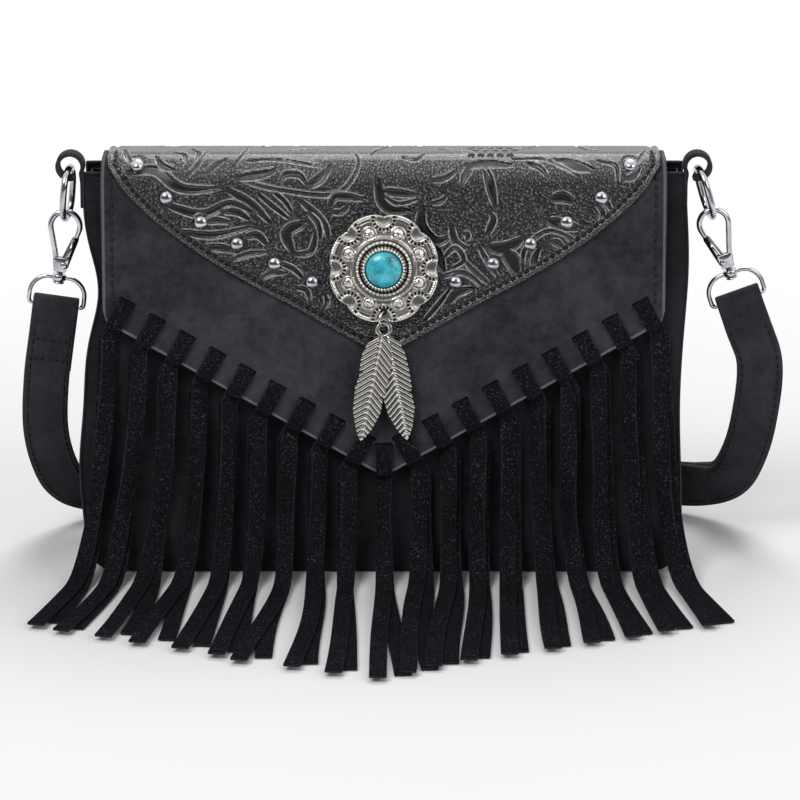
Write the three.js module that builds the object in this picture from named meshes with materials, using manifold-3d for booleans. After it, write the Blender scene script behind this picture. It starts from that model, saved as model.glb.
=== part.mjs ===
// A fringed crossbody bag: a soft pouch with a laced V-shaped flap, a tooled overlay, a concho
// with two feather charms, and a clip-on shoulder strap.
// Millimetres, +Z up. The origin is the middle of the bag's bottom, and the front faces -Y.
import * as THREE from "three";
import { mergeVertices } from "three/addons/utils/BufferGeometryUtils.js";
import Module from "manifold-3d";

const wasm = await Module();
wasm.setup();

const { Vector2, Vector3 } = THREE;
const degrees = Math.PI / 180;

// Driving dimensions
const clearance = 0.3;
const bag = { width: 286, height: 192, bottomDepth: 72, topDepth: 26, cornerRadius: 14, wall: 2 };
const gusset = { mouthDrop: 9 };
const lining = { thickness: 0.7, mouthDrop: 3 };
const flap = {
  width: 268, thickness: 1.8, rise: 5, backRadius: 4.6, frontRadius: 13,
  sideDrop: 74, tipDrop: 149, cornerRadius: 8, tipRadius: 12,
};
const overlay = {
  width: 262, thickness: 1.4, cornerDrop: 2, sweepDrop: 34, straightDrop: 65, tipDrop: 91, tipRadius: 6,
  relief: 0.6, border: 3.2, backInset: 6,
};
const lace = {
  count: 19, pitch: 14.3, width: 8, thickness: 1.4, holeInset: 13, slotPlay: 0.4, bend: 1.3,
  drop: 1.8, floorBend: 36, frontLength: 185, backLength: 176,
};
const stud = {
  radius: 3.2, height: 2.4, perSide: 6, play: 0.5,
  row: [[117, 0.5], [103, 22], [34, 55]], // start, bend and end of each row, as x and drop below the flap's top
};
const concho = {
  radius: 26.5, lobes: 8, lobeDepth: 1.9, thickness: 1.3, dome: 2.2, backPost: 5, standOff: 3.2,
  drop: 48, hole: 1.7, holeInset: 4,
};
const bezel = { radius: 13.5, height: 3.2, teeth: 24, wall: 3.6 };
const stone = { radius: 8.6, height: 4.6 };
const jumpRing = { radius: 3.6, wire: 0.55, turn: 55 };
const feather = { length: 52, width: 15, thickness: 0.9, loopRadius: 3.2, loopWire: 0.6, spread: 11, layer: 0.8 };
const snap = { radius: 7, height: 1.4, fromTip: 24 };
const ringTab = { width: 9, thickness: 2, loopRadius: 6, leg: 20, rise: 1, outset: 7 };
const ring = { height: 25, width: 19, wire: 1.6, yaw: 9 };
const clasp = {
  height: 31, headRadius: 7, wire: 1.4, block: 7, blockWidth: 8, blockDepth: 5, slot: 2.6,
  gateWidth: 2, rivet: 1, neck: 1.6, button: 2.8,
};
const swivelLoop = { inside: 24.4, drop: 17, wire: 1.1, collarRadius: 3.4, collarHeight: 3 };
const strap = { width: 22, thickness: 3, foldedEnd: 32 };
const slider = { wire: 1.1, place: 0.66 };
const sides = {
  left: { sign: -1, ringLean: 5, claspLean: 8 },
  right: { sign: 1, ringLean: 16, claspLean: 19 },
};

// Materials
const nubuck = finish(0x1d1c20, 0.85, 0);
const suede = finish(0x0b0b0d, 0.95, 0);
const tooledLeather = finish(0x17171a, 0.35, 0);
const strapLeather = finish(0x232328, 0.75, 0);
const cloth = finish(0x101012, 0.95, 0);
const chrome = finish(0xc9ccd2, 0.12, 1);
const antiqueSilver = finish(0xa7a39b, 0.35, 1);
const turquoise = finish(0x19a9bd, 0.25, 0);

const part = new THREE.Group();

function finish(color, roughness, metalness) {
  return new THREE.MeshStandardMaterial({ color, roughness, metalness });
}

function add(name, geometry, material, parent = part) {
  const mesh = new THREE.Mesh(geometry, material);
  mesh.name = name;
  parent.add(mesh);
  return mesh;
}

// Solids: a closed geometry becomes a manifold solid for joins and cuts, and comes back as a geometry.
function solid(geometry) {
  const bare = geometry.clone();
  for (const name of Object.keys(bare.attributes)) if (name !== "position") bare.deleteAttribute(name);
  const merged = mergeVertices(bare, 1e-4);
  return new wasm.Manifold(new wasm.Mesh({
    numProp: 3,
    vertProperties: new Float32Array(merged.attributes.position.array),
    triVerts: new Uint32Array(merged.index.array),
  }));
}

function geometryOf(manifold) {
  const mesh = manifold.getMesh();
  const geometry = new THREE.BufferGeometry();
  geometry.setAttribute("position", new THREE.Float32BufferAttribute(mesh.vertProperties, 3));
  geometry.setIndex(Array.from(mesh.triVerts));
  geometry.computeVertexNormals();
  return geometry;
}

function extrude(points, depth) {
  return new THREE.ExtrudeGeometry(new THREE.Shape(points), { depth, bevelEnabled: false });
}

// An outline in (y, z) carried along X, centred on the middle of the bag.
function alongX(outline, width) {
  const turn = new THREE.Matrix4().makeBasis(
    new Vector3(0, 1, 0), new Vector3(0, 0, 1), new Vector3(1, 0, 0));
  return extrude(outline, width).applyMatrix4(turn).translate(-width / 2, 0, 0);
}

// An outline in (x, z) carried along Y, from the far side yBack towards the front.
function alongY(outline, yBack, depth) {
  const turn = new THREE.Matrix4().makeBasis(
    new Vector3(1, 0, 0), new Vector3(0, 0, 1), new Vector3(0, -1, 0));
  return extrude(outline, depth).applyMatrix4(turn).translate(0, yBack, 0);
}

// A line through the corners, with each corner rounded by its radius.
function rounded(corners, radii, arcSteps = 6) {
  const line = [];
  corners.forEach((corner, i) => {
    if (!radii[i]) return line.push(corner.clone());
    const before = corners[i - 1].clone().sub(corner).normalize();
    const after = corners[i + 1].clone().sub(corner).normalize();
    const half = Math.acos(THREE.MathUtils.clamp(before.dot(after), -1, 1)) / 2;
    const middle = before.clone().add(after).normalize();
    const centre = corner.clone().addScaledVector(middle, radii[i] / Math.sin(half));
    const from = corner.clone().addScaledVector(before, radii[i] / Math.tan(half)).sub(centre);
    const turn = (Math.PI - 2 * half) * Math.sign(before.cross(after)) * -1;
    for (let step = 0; step <= arcSteps; step++)
      line.push(from.clone().rotateAround(new Vector2(), (turn * step) / arcSteps).add(centre));
  });
  return line;
}

// The line moved sideways by a distance, to the right of its direction of travel.
function offsetLine(line, distance) {
  return line.map((point, i) => {
    const before = point.clone().sub(line[Math.max(i - 1, 0)]);
    const after = line[Math.min(i + 1, line.length - 1)].clone().sub(point);
    if (!before.lengthSq()) before.copy(after);
    if (!after.lengthSq()) after.copy(before);
    const along = before.normalize().add(after.normalize()).normalize();
    const miter = distance / along.dot(after);
    return point.clone().add(new Vector2(along.y, -along.x).multiplyScalar(miter));
  });
}

// A closed outline between two offsets of a line.
function strip(line, inner, outer) {
  return [...offsetLine(line, inner), ...offsetLine(line, outer).reverse()];
}

// A section of (width, thickness) points carried through stations of place, width and thickness directions.
function sweep(section, stations, closed = false) {
  const positions = [];
  const index = [];
  const n = section.length;
  for (const { place, wide, thick } of stations)
    for (const p of section)
      positions.push(...place.clone().addScaledVector(wide, p.x).addScaledVector(thick, p.y).toArray());
  const spans = closed ? stations.length : stations.length - 1;
  for (let s = 0; s < spans; s++)
    for (let k = 0; k < n; k++) {
      const a = s * n + k;
      const b = s * n + ((k + 1) % n);
      const next = ((s + 1) % stations.length) * n - s * n;
      index.push(a, b, b + next, a, b + next, a + next);
    }
  if (!closed) {
    const end = (stations.length - 1) * n;
    for (let k = 1; k < n - 1; k++) index.push(0, k + 1, k, end, end + k, end + k + 1);
  }
  const geometry = new THREE.BufferGeometry();
  geometry.setAttribute("position", new THREE.Float32BufferAttribute(positions, 3));
  geometry.setIndex(index);
  if (solid(geometry).volume() < 0) geometry.setIndex(index.reverse());
  geometry.computeVertexNormals();
  return geometry;
}

function flatSection(width, thickness) {
  const [w, t] = [width / 2, thickness / 2];
  return [new Vector2(-w, -t), new Vector2(w, -t), new Vector2(w, t), new Vector2(-w, t)];
}

function roundSection(radius, sides = 8) {
  return Array.from({ length: sides }, (_, k) =>
    new Vector2(radius, 0).rotateAround(new Vector2(), (2 * Math.PI * k) / sides));
}

// Stations along points whose faces look towards a given direction at every point.
function stationsFacing(points, facing, closed = false) {
  const last = points.length - 1;
  return points.map((place, i) => {
    const from = points[closed ? (i + last) % points.length : Math.max(i - 1, 0)];
    const to = points[closed ? (i + 1) % points.length : Math.min(i + 1, last)];
    const along = to.clone().sub(from).normalize();
    const side = typeof facing === "function" ? facing(i) : facing;
    const wide = side.clone().cross(along).normalize();
    return { place, wide, thick: along.clone().cross(wide).normalize() };
  });
}

// A wire bent in the local XZ plane.
function planarWire(line, radius, closed, sides = 8) {
  const points = line.map((p) => new Vector3(p.x, 0, p.y));
  const up = new Vector3(0, 1, 0);
  return sweep(roundSection(radius, sides), stationsFacing(points, up, closed), closed);
}

function cylinder(radius, length, sides = 16) {
  return new THREE.CylinderGeometry(radius, radius, length, sides);
}

function ellipseLine(rx, rz, steps) {
  return Array.from({ length: steps }, (_, k) => {
    const angle = (2 * Math.PI * k) / steps;
    return new Vector2(rx * Math.cos(angle), rz * Math.sin(angle));
  });
}

// The front panel's outer face leans back as it rises. Everything on the front is placed from it.
const frontLean = (bag.bottomDepth - bag.topDepth) / 2 / bag.height;
const frontAngle = Math.atan(frontLean);
const frontNormal = new Vector3(0, -Math.cos(frontAngle), Math.sin(frontAngle));

function onFront(x, z, standOff) {
  return new Vector3(x, -bag.bottomDepth / 2 + frontLean * z, z).addScaledVector(frontNormal, standOff);
}

// Layers in front of the panel: the back tails, the front tails, the flap, then what the flap carries.
const backTailLayer = clearance + 0.2 + lace.thickness / 2;
const frontTailLayer = backTailLayer + lace.thickness + 0.4;
const flapInside = frontTailLayer + lace.thickness / 2 + 0.4;
const flapOutside = flapInside + flap.thickness;
const overlayInside = flapOutside + clearance;
const overlayOutside = overlayInside + overlay.thickness;

function buildBody() {
  const halfTop = bag.topDepth / 2;
  const halfBottom = bag.bottomDepth / 2;
  const halfWidth = bag.width / 2;
  const panelOutline = pouchOutline(halfWidth, bag.height, bag.cornerRadius, 0);
  const panelLine = [new Vector2(-halfBottom, 0), new Vector2(-halfTop, bag.height)];
  const front = solid(alongX(strip(panelLine, 0, bag.wall), bag.width))
    .intersect(solid(alongY(panelOutline, 0, bag.bottomDepth)));
  add("front_panel", geometryOf(front), nubuck);
  add("back_panel", geometryOf(front.rotate([0, 0, 180])), nubuck);

  const between = bag.wall + clearance;
  const betweenPanels = [
    new Vector2(-halfBottom + between, 0), new Vector2(halfBottom - between, 0),
    new Vector2(halfTop - between, bag.height), new Vector2(-halfTop + between, bag.height),
  ];
  const wall = alongX(betweenPanels, bag.width);
  const outside = pouchOutline(halfWidth, bag.height - gusset.mouthDrop, bag.cornerRadius, 0);
  const inside = pouchOutline(halfWidth, bag.height, bag.cornerRadius, bag.wall);
  const uStrip = solid(alongY(outside, halfBottom, bag.bottomDepth))
    .subtract(solid(alongY(inside, halfBottom + 1, bag.bottomDepth + 2)))
    .intersect(solid(wall));
  add("gusset", geometryOf(uStrip), nubuck);

  const pouch = (extra) => solid(alongX([
    new Vector2(-halfBottom + between + extra, 0), new Vector2(halfBottom - between - extra, 0),
    new Vector2(halfTop - between - extra, bag.height), new Vector2(-halfTop + between + extra, bag.height),
  ], bag.width)).intersect(solid(alongY(
    pouchOutline(halfWidth, bag.height + extra - lining.mouthDrop, bag.cornerRadius, bag.wall + clearance + extra),
    halfBottom, bag.bottomDepth)));
  add("lining", geometryOf(pouch(0).subtract(pouch(lining.thickness))), cloth);
}

// A front view of the pouch: straight sides, round lower corners, moved in by an inset.
function pouchOutline(halfWidth, top, radius, inset) {
  const w = halfWidth - inset;
  const r = radius - inset;
  const corners = [new Vector2(-w, top), new Vector2(-w, inset), new Vector2(w, inset), new Vector2(w, top)];
  return rounded(corners, [0, r, r, 0], 5);
}

// The flap's inner line in (y, z): up from the back seam, over the top and down the front.
const flapTop = bag.height + flap.rise;
const flapCorner = flapTop - flap.sideDrop;
const flapTip = flapTop - flap.tipDrop;
const conchoHeight = flapTop - concho.drop;
const hinge = { y: bag.topDepth / 2, z: bag.height + clearance / 2 };

function frontLineAt(z, standOff) {
  const p = onFront(0, z, standOff);
  return new Vector2(p.y, p.z);
}

function flapLine(start) {
  const high = frontLineAt(flapTop + 40, flapInside);
  const low = frontLineAt(flapTip - 10, flapInside);
  const share = (flapTop - low.y) / (high.y - low.y);
  const shoulder = new Vector2(low.x + (high.x - low.x) * share, flapTop);
  return start === "seam"
    ? rounded([
        new Vector2(hinge.y - flap.thickness, bag.height + clearance),
        new Vector2(hinge.y - flap.thickness, flapTop), shoulder, low,
      ], [0, flap.backRadius, flap.frontRadius, 0], 7)
    : rounded([new Vector2(hinge.y - overlay.backInset, flapTop), shoulder, low], [0, flap.frontRadius, 0], 7);
}

// The V edge of the flap, and the direction across it towards the flap's middle.
const edgeSlope = (flapCorner - flapTip) / (flap.width / 2);
const edgeAngle = Math.atan(edgeSlope);
const tipLoss = flap.tipRadius * (1 / Math.cos(edgeAngle) - 1);

function edgeAt(x) {
  return new Vector2(x, Math.max(flapTip + Math.abs(x) * edgeSlope, flapTip + tipLoss));
}

function acrossEdge(x) {
  return new Vector2(-Math.sign(x) * Math.sin(edgeAngle), x ? Math.cos(edgeAngle) : 1);
}

function laceX(i) {
  return (i - (lace.count - 1) / 2) * lace.pitch;
}

function buildFlap() {
  const half = flap.width / 2;
  const top = flapTop + 20;
  const outline = rounded([
    new Vector2(-half, top), new Vector2(-half, flapCorner), new Vector2(0, flapTip),
    new Vector2(half, flapCorner), new Vector2(half, top),
  ], [0, flap.cornerRadius, flap.tipRadius, flap.cornerRadius, 0]);
  let base = solid(alongX(strip(flapLine("seam"), 0, flap.thickness), flap.width))
    .intersect(solid(alongY(outline, bag.bottomDepth, 2 * bag.bottomDepth)));
  for (let i = 0; i < lace.count; i++) base = base.subtract(solid(laceSlot(laceX(i))));
  add("flap_base", geometryOf(base), nubuck);
}

// A slot through the flap, across which one lace passes.
function laceSlot(x) {
  const across = acrossEdge(x);
  const hole = edgeAt(x).addScaledVector(across, lace.holeInset);
  const size = [lace.width + 2 * lace.slotPlay, 3 * flap.thickness, lace.thickness + 2 * lace.slotPlay];
  const box = new THREE.BoxGeometry(...size);
  const place = onFront(hole.x, hole.y, flapInside + flap.thickness / 2);
  box.rotateY(Math.atan2(across.x, across.y));
  box.rotateX(frontAngle * -1);
  return box.translate(place.x, place.y, place.z);
}

// The tooled overlay's lower edge: a sweep down from each top corner, then straight to the tip.
function overlayOutline() {
  const half = overlay.width / 2;
  const top = flapTop + 20;
  const curve = (side) => new THREE.QuadraticBezierCurve(
    new Vector2(side * half, flapTop - overlay.cornerDrop),
    new Vector2(side * half * 0.84, flapTop - overlay.sweepDrop),
    new Vector2(side * half * 0.36, flapTop - overlay.straightDrop)).getPoints(8);
  const line = [new Vector2(-half, top), ...curve(-1), new Vector2(0, flapTop - overlay.tipDrop),
    ...curve(1).reverse(), new Vector2(half, top)];
  return rounded(line, line.map((p) => (p.x === 0 ? overlay.tipRadius : 0)), 4);
}

// A pointed leaf that curls to one side, from its foot along an angle in degrees.
function leaf(x, z, length, width, angle, curl) {
  const shape = new THREE.Shape();
  shape.moveTo(0, 0);
  shape.bezierCurveTo(length * 0.2, width * 0.9, length * 0.7, width * 0.8 + curl, length, curl);
  shape.bezierCurveTo(length * 0.75, curl * 0.6 - width * 0.1, length * 0.3, -width * 0.5, 0, 0);
  return shape.getPoints(5).slice(0, -1).map((p) =>
    p.rotateAround(new Vector2(), angle * degrees).add(new Vector2(x, z)));
}

// The tooling: long sweeping leaves on one side, a many-petalled flower and leaves on the other.
function toolingShapes() {
  const flower = { x: 49, z: flapTop - 24, petals: 6, petal: 21 };
  const shapes = [];
  for (let k = 0; k < flower.petals; k++)
    shapes.push(leaf(flower.x + 3 * Math.cos(k * 60 * degrees), flower.z + 3 * Math.sin(k * 60 * degrees),
      flower.petal, 9, k * 60 - 90, 2));
  const sprays = [
    [-118, -8, 34, 6, -38, 4], [-100, -17, 40, 7, -24, 6], [-92, -28, 42, 7, -14, 7],
    [-82, -14, 40, 8, -6, 5], [-72, -40, 36, 7, -22, 6], [-52, -54, 30, 6, -24, 5],
    [-46, -26, 22, 8, 150, -6], [-40, -12, 30, 7, 6, 5], [-28, -66, 18, 5, -30, 4],
    [20, -70, 24, 6, 24, -4], [38, -60, 26, 7, 34, -5], [62, -52, 28, 7, 30, -5],
    [80, -40, 26, 7, 38, -5], [98, -28, 26, 6, 42, -4], [84, -16, 30, 6, 10, 4],
    [14, -16, 22, 7, 30, 5], [-12, -80, 14, 5, 40, 3], [112, -10, 18, 5, 34, -3],
  ];
  return [...shapes, ...sprays.map(([x, z, ...form]) => leaf(x, flapTop + z, ...form))];
}

function buildOverlay() {
  const line = flapLine("overlay");
  const base = overlayInside - flapInside;
  const face = overlayOutside - flapInside;
  const outline = overlayOutline();
  const carry = (points) => solid(alongY(points, bag.bottomDepth / 2, 2 * bag.bottomDepth));
  const silhouette = carry(outline);
  const leather = solid(alongX(strip(line, base, face), flap.width)).intersect(silhouette);
  const raised = solid(alongX(strip(line, face - 0.3, face + overlay.relief), flap.width));
  const within = carry(offsetLine(outline, -overlay.border));
  let tooling = toolingShapes().reduce((all, points) => {
    const one = carry(points);
    return all ? all.add(one) : one;
  }, null).intersect(within).intersect(raised);
  for (const place of studPlaces()) tooling = tooling.subtract(solid(studClearing(place)));
  const post = onFront(0, conchoHeight, flapInside);
  tooling = tooling.subtract(solid(cylinder(concho.backPost + 1, 30, 12).translate(0, post.y, post.z)));
  add("tooled_overlay", geometryOf(leather.add(tooling)), tooledLeather);
}

// Studs stand evenly along a curve that follows the overlay's edge.
function studPlaces() {
  const row = new THREE.QuadraticBezierCurve(...stud.row.map(([x, drop]) => new Vector2(x, flapTop - drop)));
  const spots = row.getSpacedPoints(stud.perSide - 1);
  return [-1, 1].flatMap((side) => spots.map(({ x, y }, k) => ({ side, k, x: side * x, z: y })));
}

// The overlay's outer face and its normal, found by looking straight back at a height.
function onOverlay(x, z, standOff) {
  const line = offsetLine(flapLine("overlay"), overlayOutside - flapInside);
  for (let i = line.length - 1; i > 0; i--) {
    const [low, high] = [line[i], line[i - 1]];
    if (z > high.y) continue;
    const share = (z - low.y) / (high.y - low.y);
    const along = high.clone().sub(low).normalize();
    const normal = new Vector3(0, -along.y, along.x);
    const foot = low.clone().lerp(high, share);
    return { place: new Vector3(x, foot.x, foot.y).addScaledVector(normal, standOff), normal };
  }
  throw new Error(`nothing on the overlay at height ${z}`);
}

function studClearing({ x, z }) {
  const { place, normal } = onOverlay(x, z, 0);
  return turnedTo(cylinder(stud.radius + stud.play, 8, 10), normal).translate(...place.toArray());
}

function turnedTo(geometry, normal) {
  return geometry.applyQuaternion(new THREE.Quaternion().setFromUnitVectors(new Vector3(0, 1, 0), normal));
}

function buildStuds() {
  const profile = [new Vector2(0, 0), new Vector2(stud.radius, 0)];
  for (let k = 1; k <= 4; k++) {
    const angle = (k * Math.PI) / 8;
    profile.push(new Vector2(stud.radius * Math.cos(angle), 0.4 + (stud.height - 0.4) * Math.sin(angle)));
  }
  profile[profile.length - 1].x = 0;
  for (const { side, k, x, z } of studPlaces()) {
    const { place, normal } = onOverlay(x, z, clearance);
    const dome = turnedTo(new THREE.LatheGeometry(profile, 8), normal);
    const mesh = add(`stud_${side < 0 ? "left" : "right"}_${k + 1}`, dome, chrome);
    mesh.position.copy(place);
  }
}

// The concho, bezel and stone share a frame on the flap: local -Y is away from the leather.
function buildConcho() {
  const steps = concho.lobes * 6;
  const outline = Array.from({ length: steps }, (_, k) => {
    const angle = (2 * Math.PI * k) / steps;
    const scallop = Math.pow(Math.abs(Math.sin((angle * concho.lobes) / 2)), 0.6);
    const r = concho.radius - concho.lobeDepth * (1 - scallop);
    return new Vector2(r * Math.sin(angle), r * Math.cos(angle));
  });
  const plate = solid(alongY(outline.reverse(), 0, concho.thickness));
  const domeProfile = [new Vector2(0, 0.2), new Vector2(concho.radius * 0.86, 0.2),
    new Vector2(concho.radius * 0.8, concho.thickness + 0.5),
    new Vector2(bezel.radius + 1, concho.dome), new Vector2(0, concho.dome)];
  const towardFront = (geometry) => geometry.rotateX(Math.PI);
  let shell = plate.add(solid(towardFront(new THREE.LatheGeometry(domeProfile, 24))));
  for (let k = 0; k < concho.lobes; k++) {
    const angle = ((k + 0.5) * 2 * Math.PI) / concho.lobes;
    const boss = new THREE.LatheGeometry([new Vector2(0, 0), new Vector2(2.1, 0),
      new Vector2(1.7, concho.dome + 0.6), new Vector2(0, concho.dome + 1)], 8);
    const r = concho.radius * 0.68;
    shell = shell.add(solid(towardFront(boss).translate(r * Math.sin(angle), 0, r * Math.cos(angle))));
  }
  const seat = concho.standOff - clearance;
  const post = towardFront(cylinder(concho.backPost, seat + 0.6, 14).translate(0, -(seat - 0.6) / 2, 0));
  const hole = towardFront(cylinder(concho.hole, 20, 10))
    .translate(0, 0, -(concho.radius - concho.lobeDepth - concho.holeInset));
  shell = shell.add(solid(post)).subtract(solid(hole));
  const { place } = onOverlay(0, conchoHeight, concho.standOff);
  const frame = new THREE.Group();
  frame.position.copy(place);
  frame.rotation.x = frontAngle * -1;
  part.add(frame);
  add("concho", geometryOf(shell), antiqueSilver, frame);

  const teeth = Array.from({ length: bezel.teeth * 2 }, (_, k) => {
    const angle = (Math.PI * k) / bezel.teeth;
    const r = stone.radius + clearance + (k % 2 ? 1.4 : 0.9);
    return new Vector2(r * Math.cos(angle), r * Math.sin(angle));
  });
  const cup = new THREE.LatheGeometry([new Vector2(0, 0), new Vector2(bezel.radius, 0),
    new Vector2(bezel.radius - 0.6, 1.1), new Vector2(bezel.radius - bezel.wall, 1.5), new Vector2(0, 1.5)], 28);
  const crown = solid(alongY(teeth, 0, bezel.height))
    .subtract(solid(towardFront(cylinder(stone.radius + clearance, 20, 28))));
  const bezelSolid = solid(towardFront(cup)).add(crown);
  const bezelMesh = add("stone_bezel", geometryOf(bezelSolid), antiqueSilver, frame);
  bezelMesh.position.y = -(concho.dome + clearance);
  const stoneProfile = [new Vector2(0, 0), new Vector2(stone.radius, 0)];
  for (let k = 0; k <= 5; k++) {
    const angle = (k * Math.PI) / 10;
    stoneProfile.push(new Vector2(stone.radius * Math.cos(angle), 0.8 + (stone.height - 0.8) * Math.sin(angle)));
  }
  stoneProfile[stoneProfile.length - 1].x = 0;
  const stoneMesh = add("stone", towardFront(new THREE.LatheGeometry(stoneProfile, 18)), turquoise, frame);
  stoneMesh.position.y = -(concho.dome + 1.5 + 2 * clearance);

  const holeDrop = concho.radius - concho.lobeDepth - concho.holeInset;
  const ringPlace = frame.localToWorld(new Vector3(0, 0, 0));
  frame.updateMatrixWorld(true);
  ringPlace.copy(new Vector3(0, -concho.thickness / 2, -holeDrop - jumpRing.radius).applyMatrix4(frame.matrixWorld));
  buildCharms(ringPlace);
}

// The jump ring hangs in the concho's lower hole, and both feathers hang from it.
function buildCharms(ringPlace) {
  const wireRing = (radius, wire, steps) => planarWire(ellipseLine(radius, radius, steps), wire, true, 6);
  const ringMesh = add("jump_ring", wireRing(jumpRing.radius, jumpRing.wire, 18), antiqueSilver);
  ringMesh.position.copy(ringPlace);
  ringMesh.rotation.z = jumpRing.turn * degrees;
  const hangZ = ringPlace.z - jumpRing.radius + jumpRing.wire + feather.loopWire + 2 * clearance;
  for (const [name, side] of [["feather_left", -1], ["feather_right", 1]]) {
    const mesh = add(name, featherGeometry(), antiqueSilver);
    mesh.position.set(ringPlace.x, ringPlace.y + side * feather.layer, hangZ);
    mesh.rotation.set(frontAngle * -1, side * -feather.spread * degrees, 0);
  }
}

// One feather: a hanging loop, a quill and a pointed vane with two notches. Its top is the local origin.
function featherGeometry() {
  const { length, width, thickness, loopRadius, loopWire } = feather;
  const vane = [[0, 0], [0.2, -0.5], [0.34, -0.46], [0.36, -0.34], [0.5, -0.5], [0.74, -0.44], [0.9, -0.24], [1, 0]];
  const other = [[0.9, 0.26], [0.72, 0.46], [0.56, 0.5], [0.54, 0.36], [0.38, 0.5], [0.2, 0.46]];
  const foot = 2 * loopRadius;
  const outline = [...vane, ...other].map(([along, across]) =>
    new Vector2(across * width * Math.sqrt(Math.min(1, along * 5)), -foot - along * length + 0.6));
  const blade = solid(alongY(outline.reverse(), thickness / 2, thickness));
  const quill = solid(new THREE.CylinderGeometry(0.7, 0.35, length * 0.94, 6)
    .translate(0, -length * 0.47, 0).rotateX(Math.PI / 2).translate(0, 0, -foot + 0.4));
  const loop = solid(planarWire(ellipseLine(loopRadius, loopRadius, 14), loopWire, true, 6))
    .translate([0, 0, -loopRadius]);
  return geometryOf(blade.add(quill).add(loop));
}

// The magnetic snap: a socket on the front panel and a cap inside the flap, above its tip.
function buildSnap() {
  const z = flapTip + snap.fromTip;
  const disc = () => turnedTo(cylinder(snap.radius, snap.height, 20), frontNormal);
  const socket = add("snap_socket", disc(), chrome);
  socket.position.copy(onFront(0, z, clearance + snap.height / 2));
  const cap = add("snap_cap", disc(), chrome);
  cap.position.copy(onFront(0, z, flapInside - clearance - snap.height / 2));
}

// How far each tail's tip lies to the side of where it hangs, from the left lace to the right one.
const frontSweep = [-24, -23, -18, -14, -12, -11, -12, -6, -4, -2, -6, -9, -8, -6, 0, 5, 8, 11, 16];
const backSweep = [-17, -20, -12, -9, -6, -5, -6, 1, 3, 8, 2, -1, -2, 1, 6, 10, 13, 18, 22];

// The line in (y, z) that tails of a layer follow: down the front, round onto the floor, and forwards.
function tailLine(layer) {
  const rest = clearance + 0.2 + lace.thickness / 2 + layer - backTailLayer;
  const high = frontLineAt(bag.height, layer);
  const low = frontLineAt(0, layer);
  const share = (rest - low.y) / (high.y - low.y);
  const foot = new Vector2(low.x + (high.x - low.x) * share, rest);
  const bend = lace.floorBend - (layer - backTailLayer);
  return rounded([high, foot, new Vector2(foot.x - 260, rest)], [0, bend, 0], 4);
}

// Points down a tail, from a start in (x, z) to its tip.
function tailPoints(start, layer, length, sweepX) {
  const line = tailLine(layer);
  const points = [];
  let gone = 0;
  const ease = (s) => Math.pow(Math.min(s / length, 1), 1.5);
  const push = (p, s) => points.push(new Vector3(start.x + sweepX * ease(s), p.x, p.y));
  for (let i = 1; i < line.length; i++) {
    const [a, b] = [line[i - 1].clone(), line[i]];
    if (b.y >= start.y && i === 1) continue;
    if (i === 1) a.lerp(b, (a.y - start.y) / (a.y - b.y));
    const span = a.distanceTo(b);
    const reach = Math.min(span, length - gone);
    const cuts = Math.max(1, Math.round(reach / 45));
    for (let k = points.length ? 1 : 0; k <= cuts; k++)
      push(a.clone().lerp(b, ((reach / span) * k) / cuts), gone + (reach * k) / cuts);
    gone += reach;
    if (gone >= length - 0.01) break;
  }
  return points;
}

// One lace: up behind the flap, out through its slot, down over the edge and away as a second tail.
function lacePath(i) {
  const x = laceX(i);
  const across = acrossEdge(x);
  const edge = edgeAt(x);
  const tabLayer = flapOutside + clearance + lace.thickness / 2;
  const at = (up, layer) => {
    const p = edge.clone().addScaledVector(across, up);
    return onFront(p.x, p.y, layer);
  };
  const bent = (upFrom, upTo, layerFrom, layerTo) => [1, 2, 3].map((k) => {
    const angle = (k * Math.PI) / 6;
    return at(upFrom + (upTo - upFrom) * Math.sin(angle), layerFrom + (layerTo - layerFrom) * (1 - Math.cos(angle)));
  });
  const out = (upFrom, upTo, layerFrom, layerTo) => [1, 2, 3].map((k) => {
    const angle = (k * Math.PI) / 6;
    return at(upFrom + (upTo - upFrom) * (1 - Math.cos(angle)), layerFrom + (layerTo - layerFrom) * Math.sin(angle));
  });
  const r = lace.bend;
  const hole = lace.holeInset;
  const below = edge.clone().addScaledVector(across, -lace.drop - r - 2);
  const backStart = edge.clone().addScaledVector(across, -lace.drop - r - 6);
  const back = tailPoints(backStart, backTailLayer, lace.backLength, backSweep[i]).reverse();
  const front = tailPoints(below, frontTailLayer, lace.frontLength, frontSweep[i]);
  const loop = [
    at(hole - r, backTailLayer), ...bent(hole - r, hole, backTailLayer, backTailLayer + r),
    at(hole, tabLayer - r), ...out(hole, hole - r, tabLayer - r, tabLayer),
    at(-lace.drop + r, tabLayer), ...bent(-lace.drop + r, -lace.drop, tabLayer, tabLayer - r),
    ...out(-lace.drop, -lace.drop - r, frontTailLayer + r, frontTailLayer),
  ];
  return { back, loop, front, tangent: new Vector3(across.y, 0, -across.x) };
}

function buildLaces() {
  for (let i = 0; i < lace.count; i++) {
    const { back, loop, front, tangent } = lacePath(i);
    const points = [...back, ...loop, ...front];
    const stations = points.map((place, k) => {
      const along = points[Math.min(k + 1, points.length - 1)].clone()
        .sub(points[Math.max(k - 1, 0)]).normalize();
      const inLoop = k >= back.length && k < back.length + loop.length;
      const hint = inLoop ? tangent : new Vector3(1, 0, 0);
      const thick = along.clone().cross(hint).normalize();
      return { place, wide: thick.clone().cross(along).normalize(), thick };
    });
    add(`lace_${String(i + 1).padStart(2, "0")}`,
      sweep(flatSection(lace.width, lace.thickness), stations), suede);
  }
}

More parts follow.
